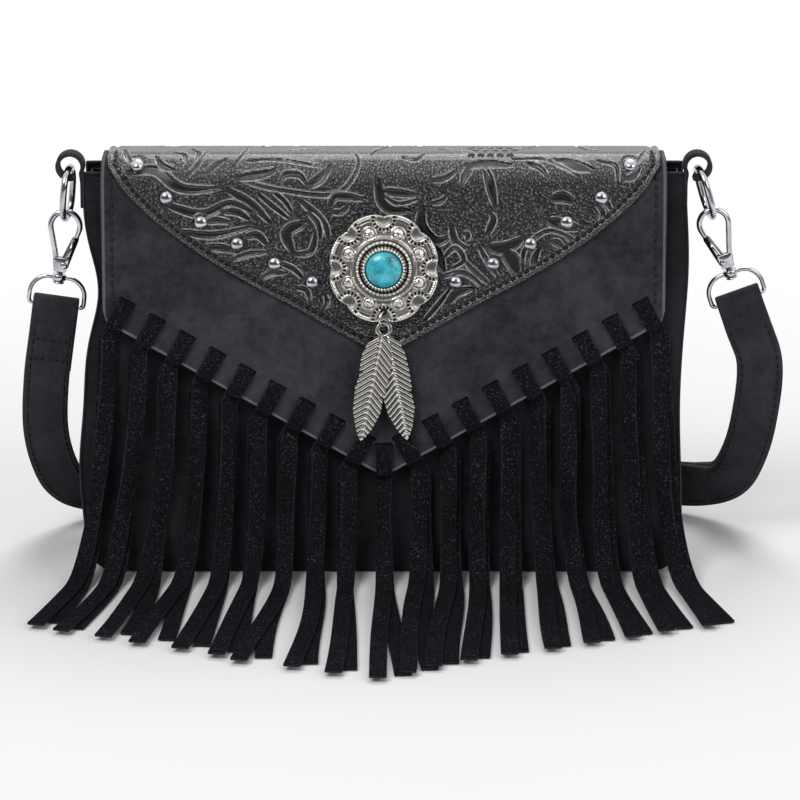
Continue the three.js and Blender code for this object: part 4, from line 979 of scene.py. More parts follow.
def backed(outer, inner, bulge):
    # a fine face over a plain back: the back is one long quad for each row of the face, because every row is
    # straight, and the first and last rows close onto the finely divided ends
    rows, cols = outer.shape[:2]
    face = np.arange(rows * cols).reshape(rows, cols)
    rim = np.concatenate([face[0, :-1], face[:-1, -1], face[-1, :0:-1], face[:0:-1, 0]])
    o, i = outer.reshape(-1, 3)[rim], inner.reshape(-1, 3)[rim]
    away = unit(o - outer.mean((0, 1)))
    middle = (o + i) / 2 + away * np.linalg.norm(o - i, axis=1, keepdims=True) * bulge
    ring = rows * cols + np.arange(len(rim))
    low = ring + len(rim)
    nextRim, nextRing, nextLow = (np.roll(line, -1) for line in (rim, ring, low))
    sides = [np.stack([rim, ring, nextRing, nextRim], 1), np.stack([ring, low, nextLow, nextRing], 1)]
    first, right = low[:cols], low[cols - 1:cols + rows - 1]
    last = low[cols + rows - 2:2 * cols + rows - 2]
    left = np.concatenate([low[:1], low[:2 * cols + rows - 4:-1]])
    strips = np.stack([left[1:-2], right[1:-2], right[2:-1], left[2:-1]], 1)
    ends = []
    for line, near, far in ((first, left[1], right[1]), (last, right[-2], left[-2])):
        pairs = np.stack([line[:-2:2], line[1:-1:2], line[2::2], np.full(len(line[2::2]), near)], 1)
        ends += [pairs, np.array([[line[-2], line[-1], far, near]])]
    faces = np.concatenate([gridFaces(rows, cols), *sides, strips, *ends])
    uv = lengthsOn(outer).reshape(-1, 2)
    points = np.concatenate([outer.reshape(-1, 3), middle, i])
    return outward((points, faces, np.concatenate([uv, uv[rim], uv[rim]])))


outer, inner, relief, lipHighlight = overlayShape()
shape = backed(outer, inner, 0.4)
extra = len(shape[0]) - relief.size
# relief and the lip mask carry the painted glints and the painted lip highlight to the material
makePiece("tooledOverlay", shape, tooledLeather, "flap", ["tooled_overlay"],
          {"relief": np.append(relief.ravel(), np.full(extra, 0.5)),
           "lipHighlight": np.append(lipHighlight.ravel(), np.zeros(extra))})


def overlaySeam(side):  # a row of stitches in the groove, from the top round to the tip
    w = np.linspace(flapTop + 12, overlayHalf(0.0)[1] + 4.4, 400)
    edge = np.stack([overlayHalf(w)[0], w], 1)
    inwards = unit(np.stack([np.gradient(edge[:, 1]), -np.gradient(edge[:, 0])], 1))
    line = edge + overlay["groove"] * inwards
    line = line[line[:, 0] > 1.5]
    x, s, level = side * line[:, 0], overlayDrape.lengthAt(line[:, 1]), np.ones(len(line))
    path = overlayDrape.place(x, s, level * (overlayFace - flapInside - 0.15))
    normal = overlayDrape.place(x, s, level) - overlayDrape.place(x, s, 0 * level)
    return stitches(path, normal, **overlay["thread"])


makePiece("overlayStitching", joined(overlaySeam(-1), overlaySeam(1)), blackThread, "flap")
print("tooled overlay made:", relief.size, "points")


# metal on the flap: dome studs, the concho with its set stone, and the jump ring with two feathers

def ridge(d, at, half):  # a bell-shaped ridge, 1 where d is at
    return np.exp(-(((d - at) / half) ** 2))


def dome(d, radius):  # a round dome, 1 at d = 0 and 0 from the radius outwards
    return np.sqrt(np.maximum(1 - (d / radius) ** 2, 0))


stud = {"radius": 3.2, "height": 2.4, "foot": 0.9, "wall": 0.35, "standOff": 0.3}


def studShape():  # a low dome on a short foot that sinks into the leather
    a = np.linspace(0, math.pi / 2, 9)
    r, wall = stud["radius"], stud["wall"]
    profile = np.concatenate([[(0, -stud["foot"]), (r * 0.9, -stud["foot"]), (r, -0.1)],
                              np.stack([r * np.cos(a), wall + (stud["height"] - wall) * np.sin(a)], 1)])
    return lathe(profile, 24)


sx, sz = studSpots()
place, normal = onOverlay(sx, sz, stud["standOff"])
domes = [placed(studShape(), at, rightward, np.cross(n, rightward), n) for at, n in zip(place, normal)]
studNodes = [f"stud_{side}_{k + 1}" for side in ("left", "right") for k in range(overlay["studs"])]
makePiece("domeStuds", joined(*domes), chrome, "flap", studNodes, weld=True)


concho = {"radius": 26.5, "lobes": 8, "lobeDepth": 1.9, "thickness": 1.3, "dome": 2.2, "drop": 48.0,
          "standOff": 3.2, "rings": 110, "sides": 480, "backRings": 12, "hole": 1.7, "holeInset": 4.0,
          "post": 5.0, "postDepth": 2.8, "rope": 1.1, "ropeTurns": 128, "cupAt": 23.6, "cup": 3.4, "cupCuts": 18,
          "bossAt": 0.68, "boss": 2.5, "pipAt": 17.6, "pip": 0.9}  # bossAt as a share of the radius
conchoPlace = onOverlay(0, flapTop - concho["drop"], concho["standOff"])[0][0]
conchoUp = np.array([0, math.sin(leanAngle), math.cos(leanAngle)])


def onConcho(shape, out=0.0):  # local x to the right, y up the flap, z away from it
    return placed(shape, conchoPlace + frontOut * out, rightward, conchoUp, frontOut)


def conchoDetail(x, y, inset):
    # height of the chasing: a rope rim inside the edge with a groove beside it, and a ring round the bezel;
    # at each notch a half-round cup with radiating cuts and a pip, on each lobe a flower boss in a ring
    r, a = np.hypot(x, y), np.arctan2(y, x)
    rope = dome(inset - concho["rope"], concho["rope"])
    detail = rope * (0.62 + 0.2 * np.sin(a * concho["ropeTurns"] + inset * 2.2)) - 0.35 * ridge(inset, 2.7, 0.4)
    detail += 0.3 * ridge(r, 15.2, 0.55) - 0.25 * ridge(r, 16.3, 0.4)

    def polarAt(radius, turn):
        dx, dy = x - radius * math.cos(turn), y - radius * math.sin(turn)
        return np.hypot(dx, dy), np.arctan2(dy, dx)
    for k in range(concho["lobes"]):
        notch = 2 * math.pi * k / concho["lobes"]
        d, phi = polarAt(concho["cupAt"], notch)
        cup = 0.5 * dome(d, concho["cup"]) + 0.55 * ridge(d, 3.9, 0.35)
        fan = smooth(d, 4.2, 4.6) * (1 - smooth(d, 5.6, 6.0))
        cuts = (0.6 * smooth(np.cos(phi * concho["cupCuts"]), -0.1, 0.6) - 0.5) * fan
        keep = smooth(-d, -6.6, -6.2) * smooth(inset, 0.1, 0.9)
        detail = detail * (1 - keep) + (cup + cuts) * keep
        d, phi = polarAt(concho["radius"] * concho["bossAt"], notch + math.pi / concho["lobes"])
        detail += dome(d, concho["boss"]) * (0.75 + 0.25 * np.abs(np.cos(phi * 2.5)) ** 0.7)
        detail += 0.3 * ridge(d, 3.1, 0.32) - 0.2 * ridge(d, 2.6, 0.2)
        d, _ = polarAt(concho["pipAt"], notch)
        detail += 0.35 * dome(d, concho["pip"])
    return detail


def conchoShape():
    # polar grid: the edge dips at each notch, the face is a low dome with the chasing on it, the back is flat
    a = np.linspace(0, 2 * math.pi, concho["sides"], endpoint=False)
    edge = concho["radius"] - concho["lobeDepth"] * (1 - np.abs(np.sin(a * concho["lobes"] / 2)) ** 0.6)
    around = np.stack([np.cos(a), np.sin(a)], -1) * edge[:, None]
    rho = (np.linspace(0, 1, concho["rings"]) ** 0.8)[:, None]
    x, y = rho * around[:, 0], rho * around[:, 1]
    r = rho * edge
    detail = conchoDetail(x, y, edge - r)
    h = concho["thickness"] + (concho["dome"] - concho["thickness"]) * smooth(-r, -22, -14)
    front = np.stack([x, y, h + detail - 0.15], -1)
    rim = np.column_stack([around * 1.004, np.full(len(a), 0.5)])[None]
    backRho = np.linspace(1, 0, concho["backRings"])[:, None, None] * 0.99
    back = np.concatenate([backRho * around, np.zeros((concho["backRings"], len(a), 1))], -1)
    relief = np.clip(0.54 + detail * 0.75, 0, 1)
    plain = np.full((concho["backRings"] + 1) * len(a), 0.4)
    shape = gridShape(np.concatenate([front, rim, back]), wrapCols=True)
    return outward(shape), np.concatenate([relief.ravel(), plain])


shape, relief = conchoShape()
conchoPiece = makePiece("conchoPlate", onConcho(shape), antiqueSilver, "flap", ["concho"],
                        {"relief": relief}, weld=True)
holeY = -(concho["radius"] - concho["lobeDepth"] - concho["holeInset"])
drill = sweep(np.array([[0, holeY, -2.0], [0, holeY, 1], [0, holeY, 5]]), rightward,
              roundSection(concho["hole"], 24))
cutAway(conchoPiece, onConcho(drill))
r, depth = concho["post"], concho["postDepth"]
post = lathe([(0, -depth), (r, -depth), (r, 0.4), (0, 0.4)], 32)
makePiece("conchoPost", onConcho(post), antiqueSilver, "flap", (),
          {"relief": np.full(len(post[0]), 0.3)}, weld=True)


bezel = {"radius": 13.5, "height": 3.2, "teeth": 40, "beads": 72, "base": 2.5, "sides": 480}
stone = {"radius": 8.6, "height": 4.6, "wall": 0.8, "base": 4.3}


def bezelShape():
    # a ring section of (r, h, brightness) turned about the stone: a beaded foot, a step, and a serrated crown
    a = np.linspace(0, 2 * math.pi, bezel["sides"], endpoint=False)
    inside, top = stone["radius"] + 0.15, bezel["height"] + 0.5
    foot = [(inside, 0, 0.2), (bezel["radius"], 0, 0.3), (bezel["radius"], 0.5, 0.5)]
    beads = [(13.2, 1.0, 0.8), (12.6, 1.25, 0.95), (12.0, 1.1, 0.6)]
    step = [(11.6, 0.8, 0.05), (11.3, 0.9, 0.05)]
    crown = [(11.0, 1.6, 0.3), (10.4, 2.4, 0.7), (10.0, top - 0.5, 0.9), (9.6, top, 1.0), (9.1, top - 0.1, 0.8)]
    profile = np.array([*foot, *beads, *step, *crown, (inside, top - 0.7, 0.2)])
    r, h, bright = (np.repeat(profile[:, k:k + 1], len(a), 1) for k in range(3))
    tooth = np.abs(np.sin(a * bezel["teeth"] / 2)) ** 0.7
    r[8:12] += 0.5 * tooth - 0.2
    h[9:13] += 0.35 * tooth - 0.2
    h[3:6] += 0.14 * np.sin(a * bezel["beads"])
    points = np.stack([r * np.cos(a), r * np.sin(a), h], -1)
    return outward(gridShape(points, wrapRows=True, wrapCols=True)), np.clip(bright * (0.35 + 0.65 * tooth), 0, 1)


def stoneShape():  # a cabochon: a flat base, a short wall and a dome
    a = np.linspace(0, math.pi / 2, 24)
    r, wall = stone["radius"], stone["wall"]
    cap = np.stack([r * np.cos(a) ** 0.9, wall + (stone["height"] - wall) * np.sin(a)], 1)
    cap[-1, 0] = 0
    return lathe(np.concatenate([[(0, 0), (r, 0)], cap]), 72)


shape, relief = bezelShape()
makePiece("stoneBezel", onConcho(shape, bezel["base"]), antiqueSilver, "flap", ["stone_bezel"],
          {"relief": relief})
makePiece("turquoiseStone", onConcho(stoneShape(), stone["base"]), turquoiseStone, "flap",
          ["stone"], weld=True)


charm = {"ringRadius": 3.6, "ringWire": 0.55, "ringTurn": 55.0, "length": 52.0, "width": 15.0, "thickness": 0.9,
         "loopRadius": 3.2, "loopWire": 0.6, "spread": 11.0, "layer": 0.8, "barbs": 19, "rows": 241,
         "columns": 49,
         # each side's outline, with its notch, as (share of the length, share of the width)
         "leftEdge": [(0, 0.05), (0.05, 0.2), (0.12, 0.38), (0.24, 0.49), (0.38, 0.48), (0.395, 0.33),
                      (0.41, 0.44), (0.55, 0.5), (0.76, 0.43), (0.9, 0.25), (0.97, 0.1), (1, 0.01)],
         "rightEdge": [(0, 0.05), (0.05, 0.2), (0.12, 0.37), (0.24, 0.48), (0.4, 0.5), (0.58, 0.47),
                       (0.595, 0.32), (0.61, 0.43), (0.74, 0.45), (0.9, 0.26), (0.97, 0.1), (1, 0.01)]}
ringPlace = conchoPlace + frontOut * concho["thickness"] / 2 + conchoUp * (holeY - charm["ringRadius"])


def wireRing(radius, wire, across, up, centre):  # a round wire bent to a ring
    a = np.linspace(0, 2 * math.pi, 64, endpoint=False)[:, None]
    path = centre + radius * (np.cos(a) * across + np.sin(a) * up)
    return sweep(path, np.cross(across, up), roundSection(wire, 14), closed=True)


turn = math.radians(charm["ringTurn"])
shape = wireRing(charm["ringRadius"], charm["ringWire"], np.array([math.cos(turn), math.sin(turn), 0]), upward,
                 ringPlace)
makePiece("jumpRing", shape, antiqueSilver, "flap", ["jump_ring"],
          {"relief": np.full(len(shape[0]), 0.8)})


def featherShape():
    # a vane on a grid: v down the shaft, u across; barbs are a sine of the length that slants outwards, and
    # the shaft is a ridge that thins towards the tip
    v = np.linspace(0, 1, charm["rows"])[:, None]
    u = np.linspace(-1, 1, charm["columns"])
    left, right = (np.interp(v, *np.transpose(charm[side])) for side in ("leftEdge", "rightEdge"))
    x = np.where(u < 0, u * left, u * right) * charm["width"]
    sag = np.abs(u) * 1.6 * smooth(np.minimum(left, right), 0.0, 0.4)
    barb = np.abs(np.sin(math.pi * (v * charm["barbs"] - np.abs(x) * 0.4))) ** 0.6
    shaft = ridge(x, 0, 0.62) * (1 - 0.5 * v)
    lift = 0.05 + 0.38 * barb * (1 - shaft) + 0.6 * shaft + 0.2 * (1 - u**2)
    z = -2 * charm["loopRadius"] + 0.6 - (v * charm["length"] - sag * 0.9)
    back = charm["thickness"] / 2 - 0.2
    vane = slab(np.stack([x, -back - lift, z], -1), np.stack([x, np.full_like(x, back), z], -1), 0.1)
    loop = wireRing(charm["loopRadius"] - 0.1, charm["loopWire"] - 0.15, rightward, upward,
                    -upward * charm["loopRadius"])
    neck = lathe([(0, -9), (0.6, -8.6), (0.75, -7), (0.65, -5.9), (0, -5.7)], 16)
    relief = np.clip(barb**1.6 * 0.95 - 0.05 + 0.9 * shaft, 0, 1)
    rest = np.full(len(vane[0]) - relief.size, 0.35)
    polished = np.full(len(loop[0]) + len(neck[0]), 0.75)
    return joined(vane, loop, neck), np.concatenate([relief.ravel(), rest, polished])


hangZ = ringPlace[2] - charm["ringRadius"] + charm["ringWire"] + charm["loopWire"] + 0.6
shape, relief = featherShape()
for side, name in ((-1, "left"), (1, "right")):
    spread = math.radians(-side * charm["spread"])
    xAxis = math.cos(spread) * rightward - math.sin(spread) * conchoUp
    hang = np.array([0, ringPlace[1] + side * charm["layer"], hangZ])
    feather = placed(shape, hang, xAxis, -frontOut, np.cross(xAxis, -frontOut))
    makePiece(f"featherCharm_{name}", feather, antiqueSilver, f"feather_{name}_hang",
              [f"feather_{name}"], {"relief": relief}, weld=True)


# magnetic snap: the socket on the pouch and the cap inside the flap are the same dished disc, face to face
snap = {"radius": 7.0, "height": 1.4, "dish": 4.2, "boss": 2.6, "fromTip": 24.0}
r, h = snap["radius"], snap["height"]
disc = lathe([(0, 0), (r, 0), (r, h - 0.5), (r - 0.5, h), (snap["dish"], h), (snap["dish"] - 0.3, h - 0.4),
              (snap["boss"], h - 0.4), (snap["boss"] - 0.3, h - 0.05), (0, h - 0.05)], 48)
for name, node, out, body, face in (("snapSocket", "snap_socket", 0.3, "pouch", 1),
                                    ("snapCap", "snap_cap", flapInside - 0.3, "flap", -1)):
    at = onFront(0, flapTip + snap["fromTip"], out)
    half = placed(disc, at, rightward, conchoUp * face, frontOut * face)
    makePiece(name, half, chrome, body, [node], weld=True)
print("metal on the flap made")


# strap hardware on both sides: leather ring tab, ring, swivel clasp with gate and rivet, swivel loop

hardware = {"tabWidth": 9.0, "tabWall": 2.0, "tabLoop": 6.0, "tabLeg": 20.0, "tabRise": 1.0, "tabOutset": 7.0,
            "ringHeight": 25.0, "ringWidth": 19.0, "ringWire": 1.6, "ringYaw": 9.0,
            "claspHeight": 31.0, "headRadius": 7.0, "claspWire": 1.4, "block": 7.0, "blockHalf": 4.0,
            "cheek": 1.1, "cheekAt": 1.95, "core": 3.4, "gate": 2.0, "pivot": (-1.6, 3.4),
            "loopInside": 24.4, "loopDrop": 17.0, "loopWire": 1.1, "collar": 3.4, "collarBore": 1.9}
sides = {"left": {"sign": -1, "ringLean": 5.0, "claspLean": 8.0},
         "right": {"sign": 1, "ringLean": 16.0, "claspLean": 19.0}}


def flatPath(points):  # (x, z) points as a path in space
    points = np.asarray(points, float)
    return np.column_stack([points[:, 0], np.zeros(len(points)), points[:, 1]])


def roundBlock(outline, depth, radius, rings=4):
    # an outline in (x, z) carried along y between round edges: rings shrink towards both faces by a quarter
    # circle, and each face closes onto its middle
    outline = np.asarray(outline, float)
    before, after = unit(outline - np.roll(outline, 1, 0)), unit(np.roll(outline, -1, 0) - outline)
    along = unit(before + after)
    inwards = np.stack([-along[:, 1], along[:, 0]], 1) / np.sum(along * after, 1, keepdims=True)
    a = np.linspace(0, math.pi / 2, rings)
    inset = np.concatenate([radius * (1 - np.sin(a)), radius * (1 - np.sin(a[::-1]))])
    y = np.concatenate([-depth / 2 + radius * (1 - np.cos(a)), depth / 2 - radius * (1 - np.cos(a[::-1]))])
    ring = outline[None] + inwards[None] * inset[:, None, None]
    points = np.stack([ring[..., 0], np.broadcast_to(y[:, None], ring.shape[:2]), ring[..., 1]], -1)
    middle = np.repeat(points.mean(1, keepdims=True), len(outline), 1)
    return outward(gridShape(np.concatenate([middle[:1], points, middle[-1:]]), wrapCols=True))


def mirroredX(shape, sign):
    p, f, uv = shape
    return outward((p * [sign, 1, 1], f, uv))


def tabPlace():  # centre of the tab's loop on the right side, in (x, z)
    return np.array([halfWidth + hardware["tabOutset"], bag["height"] + hardware["tabRise"]])


def tabShape():  # strap leather folded round the ring, its leg sewn to the gusset
    centre = tabPlace()
    legX = halfWidth + 0.3 + hardware["tabWall"] / 2
    angle = math.pi + 0.5 - np.linspace(0, 1, 40) * (2 * math.pi - 0.75)
    loop = centre + hardware["tabLoop"] * np.stack([np.cos(angle), np.sin(angle)], 1)
    leg = [(legX, centre[1] - down) for down in (hardware["tabLeg"], 14, hardware["tabLoop"] + 2)]
    path = spline(flatPath(np.concatenate([leg, loop])), 90)
    return sweep(path, backward, flatSection(hardware["tabWidth"], hardware["tabWall"], 0.6, 4))


def ringShape():  # a stadium of wire that hangs from the origin: half-round ends joined by straight sides
    r, half = hardware["ringWidth"] / 2, hardware["ringHeight"] / 2
    end = np.linspace(0, math.pi, 25)
    top = np.stack([r * np.cos(end), half - r + r * np.sin(end)], 1)
    path = flatPath(np.concatenate([top, -top]) - [0, half])
    return sweep(path, backward, roundSection(hardware["ringWire"], 20), closed=True)


def claspFrame(headZ):  # a wire hook that tapers to its nose, on a forked block with a turned neck below it
    h, r, half = hardware, hardware["headRadius"], hardware["blockHalf"]
    angle = np.radians(np.linspace(-8, 188, 40))
    head = np.stack([r * np.cos(angle), headZ + r * np.sin(angle)], 1)
    hook = np.concatenate([[(2.4, 3.5), (2.7, 6.5), (3.4, 9.5), (5.2, 15.5)], head, [(-r + 0.9, headZ - 5)]])
    taper = np.interp(np.linspace(0, 1, 110), [0, 0.9, 1], [1.0, 1.0, 0.8])
    wire = sweep(spline(flatPath(hook), 110), backward, roundSection(h["claspWire"], 20), scale=taper)
    side = [(-half + 1, 0), (half - 1, 0), (half, h["block"]), (-half, h["block"])]
    p, f, uv = roundBlock(roundedLine(side, [0.8] * 4, 15), h["cheek"], 0.4)
    cheeks = [(p + backward * y, f, uv) for y in (-h["cheekAt"], h["cheekAt"])]
    high = h["block"] - 0.1
    core = [(1.7, 0.1), (half - 0.9, 0.1), (half - 0.2, high), (1.7, high)]
    foot = [(-half + 1.05, 0.05), (half - 1.05, 0.05), (half - 1, 0.85), (-half + 1, 0.85)]
    neck = lathe([(0, -6.4), (1.8, -6.2), (2.8, -5.8), (2.8, -5.3), (2.3, -4.95), (1.6, -4.9), (1.6, 0.3),
                  (0, 0.3)], 32)
    return joined(wire, *cheeks, roundBlock(roundedLine(core, [0.4] * 4, 30), h["core"], 0.3),
                  roundBlock(roundedLine(foot, [0.3] * 4, 30), h["core"], 0.2), neck)


def claspGate(headZ):  # a flat bar from its pivot up to the hook's nose, narrower at the tip
    pivot, tip = np.array(hardware["pivot"]), np.array([-hardware["headRadius"] + 1.2, headZ - 5.4])
    reach = tip - pivot
    side = unit(np.array([-reach[1], reach[0]]))
    heel = pivot - reach * 0.1
    corners = [heel + side * 1.8, tip + side * 1.05, tip - side * 1.05, heel - side * 1.8]
    return roundBlock(roundedLine(corners, [1.3, 0.7, 0.7, 1.3], 15), hardware["gate"], 0.6)


def claspRivet():  # a low round head on each cheek
    head = lathe([(0, 2.4), (1.7, 2.4), (1.7, 3.0), (1.3, 3.35), (0.7, 3.5), (0, 3.55)], 32)
    pin = flatPath([hardware["pivot"]])[0]
    return joined(*(placed(head, pin, rightward, -way * upward, way * backward) for way in (-1, 1)))


def swivelLoop():  # a round-shouldered wire loop for the strap, under a collar on the neck
    h, half = hardware, hardware["loopInside"] / 2 + hardware["loopWire"]
    corners = [(0, -3), (half, -3), (half, -h["loopDrop"]), (-half, -h["loopDrop"]), (-half, -3), (0, -3)]
    line = roundedLine(corners, [0, 9, 1.8, 1.8, 9, 0], 6)[:-1]
    bar = sweep(flatPath(line), backward, roundSection(h["loopWire"], 16), closed=True)
    c, bore = h["collar"], h["collarBore"]
    collar = [(bore, -4.5), (c - 0.3, -4.5), (c, -4.1), (c, -1.9), (c - 0.3, -1.5), (bore, -1.5), (bore, -4.5)]
    return joined(bar, lathe(collar, 40))


bars = {}
for name, side in sides.items():
    sign, ringLean, claspLean = side["sign"], math.radians(side["ringLean"]), math.radians(side["claspLean"])
    makePiece(f"ringTab_{name}", mirroredX(tabShape(), sign), strapLeather, "pouch",
              [f"ring_tab_{name}"])
    centre = tabPlace()
    ringTop = np.array([sign * (centre[0] + 0.4), 0, centre[1] - 1.2])
    zAxis = np.array([-sign * math.sin(ringLean), 0, math.cos(ringLean)])
    flatAxis = np.array([math.cos(ringLean), 0, sign * math.sin(ringLean)])
    yaw = math.pi / 2 + sign * math.radians(hardware["ringYaw"])
    xAxis = math.cos(yaw) * flatAxis + math.sin(yaw) * backward
    ring = placed(ringShape(), ringTop, xAxis, np.cross(zAxis, xAxis), zAxis)
    makePiece(f"ring_{name}", ring, chrome, "pouch", [f"ring_{name}"])
    # the clasp hangs by its hook from the ring's lowest point
    up = np.array([-sign * math.sin(claspLean), 0, math.cos(claspLean)])
    out = np.array([math.cos(claspLean), 0, sign * math.sin(claspLean)])
    drop = hardware["claspHeight"] - hardware["claspWire"] - (hardware["ringWire"] + hardware["claspWire"] + 0.3)
    seat = ringTop - zAxis * hardware["ringHeight"] - up * drop
    headZ = hardware["claspHeight"] - hardware["claspWire"] - hardware["headRadius"]
    for piece, node, body, shape in (("claspFrame", "clasp_frame", f"clasp_{name}", claspFrame(headZ)),
                                     ("claspRivet", "clasp_rivet", f"clasp_{name}", claspRivet()),
                                     ("claspGate", "clasp_gate", f"gate_{name}", claspGate(headZ)),
                                     ("swivelLoop", "swivel_loop", "pouch", swivelLoop())):
        shape = placed(mirroredX(shape, sign), seat, out, backward, up)
        makePiece(f"{piece}_{name}", shape, chrome, body, [f"{node}_{name}"], weld=True)
    bars[name] = {"bar": seat - up * hardware["loopDrop"], "across": out, "down": -up}
print("strap hardware made")


# strap: folded over the left bar and sewn, down to the floor, round behind the bag, up and over the right bar,
# and doubled back to the slider

strap = {"width": 22.0, "thickness": 3.0, "round": 0.9, "foldedEnd": 32.0, "points": 240, "foldPoints": 6,
         "doubledFrom": 0.667, "sliderAt": 0.694,  # shares of the strap's points
         "sewRows": (17.0, 26.5), "sewInset": 2.3,
         "thread": {"pitch": 4.2, "length": 3.0, "radius": 0.6, "inset": 0.25},
         "crossThread": {"pitch": 3.4, "length": 2.6, "radius": 0.6, "inset": 0.25}}
apart = strap["thickness"] + 0.3  # between the layers where the strap is doubled
back = slice(int(strap["points"] * strap["doubledFrom"]), -strap["foldPoints"])  # where it is doubled


def below(side, distance, y):  # points a distance down from a clasp's bar, at depth y
    p = bars[side]["bar"] + bars[side]["down"] * np.asarray(distance, float)[..., None]
    p[..., 1] = y
    return p


def strapRoute(fold):  # points given one by one from bar to bar, on edge along the floor behind the bag
    left, right = bars["left"]["bar"][0], bars["right"]["bar"][0]
    floorZ = strap["width"] / 2 + 0.5
    sliderZ = floorZ + 3 * hardware["loopWire"] + 0.3
    return [below("left", 12, -fold), below("left", 36, -fold), (left - 6.5, 2, 62), (left - 4, 12, 42),
            (left + 1, 28, 26), (left + 11, 47, 16), (left + 32, 61, floorZ + 0.8), (-90, 71, floorZ),
            (-45, 77, floorZ), (0, 79, floorZ), (45, 77, floorZ), (95, 71, sliderZ), (right - 36, 62, sliderZ),
            (right - 13, 48, 18), (right - 1, 29, 27), (right + 5, 12, 44), (right + 9, 2, 66),
            below("right", 32, -fold), below("right", 12, -fold)]


def strapPaths():
    # the visible run with its face and width directions, then the whole strip with both folds and the doubled
    # length, whose width directions are averaged along 13 points
    fold = hardware["loopWire"] + 0.6 + strap["thickness"] / 2

    def turn(side, way):  # half round a bar
        angle = way * (np.linspace(0, math.pi, 13) - math.pi / 2)
        return below(side, -fold * np.cos(angle), fold * np.sin(angle))
    main = spline(strapRoute(fold), strap["points"])
    tangent = unit(np.gradient(main, axis=0))
    face = unit(-backward + tangent * (tangent @ backward)[:, None])
    wide = unit(np.cross(face, tangent))
    folded = [below("left", strap["foldedEnd"], apart - fold), below("left", 18, apart - fold + 0.6),
              below("left", 6, fold), *turn("left", -1), below("left", 6, -fold)]
    over = [below("right", 6, -fold), *turn("right", 1), below("right", 6, fold)]
    doubled = (main - face * apart)[back][::-1]
    path = np.concatenate([folded, main, over, doubled])
    across = np.concatenate([np.tile(bars["left"]["across"], (len(folded), 1)), wide,
                             np.tile(wide[-1], (len(over), 1)), wide[back][::-1]])
    soft = np.pad(across, ((6, 6), (0, 0)), mode="edge")
    across = unit(np.stack([np.convolve(soft[:, k], np.ones(13) / 13, "valid") for k in range(3)], 1))
    return path, across, main, face, wide


def strapSeams():  # a row near each edge of both faces, and two rows across the sewn end
    inset, half = strap["width"] / 2 - strap["sewInset"], strap["thickness"] / 2
    seams = []
    for side in (-1, 1):
        line = main + wide * side * inset
        seams += [stitches(line + face * half, face, **strap["thread"]),
                  stitches((line - face * half)[:back.start], -face[:back.start], **strap["thread"]),
                  stitches((line - face * (apart + half))[back], -face[back], **strap["thread"])]
    for row in strap["sewRows"]:
        k = np.argmin(np.abs(np.linalg.norm(main[:60] - bars["left"]["bar"], axis=1) - row))
        line = main[k] + face[k] * half + wide[k] * np.linspace(-inset, inset, 30)[:, None]
        seams.append(stitches(line, np.tile(face[k], (30, 1)), **strap["crossThread"]))
    return joined(*seams)


def sliderShape():  # a wire frame round both layers of the strap
    k, wire = int(strap["points"] * strap["sliderAt"]), hardware["loopWire"]
    w, h = (apart + strap["thickness"]) / 2 + wire + 0.3, strap["width"] / 2 + wire + 0.3
    line = roundedLine([(0, h), (w, h), (w, -h), (-w, -h), (-w, h), (0, h)], [0, 1.4, 1.4, 1.4, 1.4, 0], 10)[:-1]
    path = main[k] - face[k] * apart / 2 - face[k] * line[:, :1] + wide[k] * line[:, 1:]
    return sweep(path, np.cross(face[k], wide[k]), roundSection(wire, 14), closed=True)


path, across, main, face, wide = strapPaths()
strip = sweep(path, across, flatSection(strap["width"], strap["thickness"], strap["round"], 4))
makePiece("shoulderStrap", strip, strapLeather, "pouch", ["strap"])
makePiece("strapStitching", strapSeams(), blackThread, "pouch")
makePiece("strapSlider", sliderShape(), chrome, "pouch", ["strap_slider"])
print("strap made")


# pouch: soft front and back panels on a side-and-bottom gusset, with a cloth lining inside

pouch = {"columns": 141, "rows": 111, "sag": 3.2, "fold": 4.5, "foldFrom": (40, 100), "foldTo": (135, 166),
         "rim": 0.35, "hemInset": 5.0, "hemPoints": 400, "lining": 0.7, "liningRows": 61, "liningColumns": 81,
         "gussetRows": 241, "gussetColumns": 31, "stripRows": 161, "stripColumns": 21,
         # sideways give of each side wall beyond giveFrom from the middle, as (move in x, height, spread)
         "giveFrom": 70, "leftGive": [(7.0, 136, 23), (-3.0, 50, 26)],
         "rightGive": [(2.0, 150, 30), (-1.5, 80, 34)],
         "thread": {"pitch": 4.1, "length": 3.1, "radius": 0.4, "inset": 0.25}}
turnedRound = np.array([-1, -1, 1])  # the back is the front turned half about


def pouchHalf(z, inset=0.0):  # half width at height z: straight sides and round lower corners
    r = bag["corner"] - inset
    low = np.clip(bag["corner"] - z, 0, r)
    return halfWidth - bag["corner"] + np.sqrt(np.maximum(r**2 - low**2, 0))


def slump(p):
    # the empty pouch gives a little: its left side is pinched high up and flares low down, its right side
    # does the opposite, and less; each give is a bell over the height
    x, z = p[..., 0], p[..., 2]
    left, right = (sum(move * ridge(z, at, spread) for move, at, spread in pouch[side])
                   for side in ("leftGive", "rightGive"))
    moved = p.copy()
    reach = pouch["giveFrom"], halfWidth
    moved[..., 0] += left * smooth(-x, *reach) + right * smooth(x, *reach)
    return moved


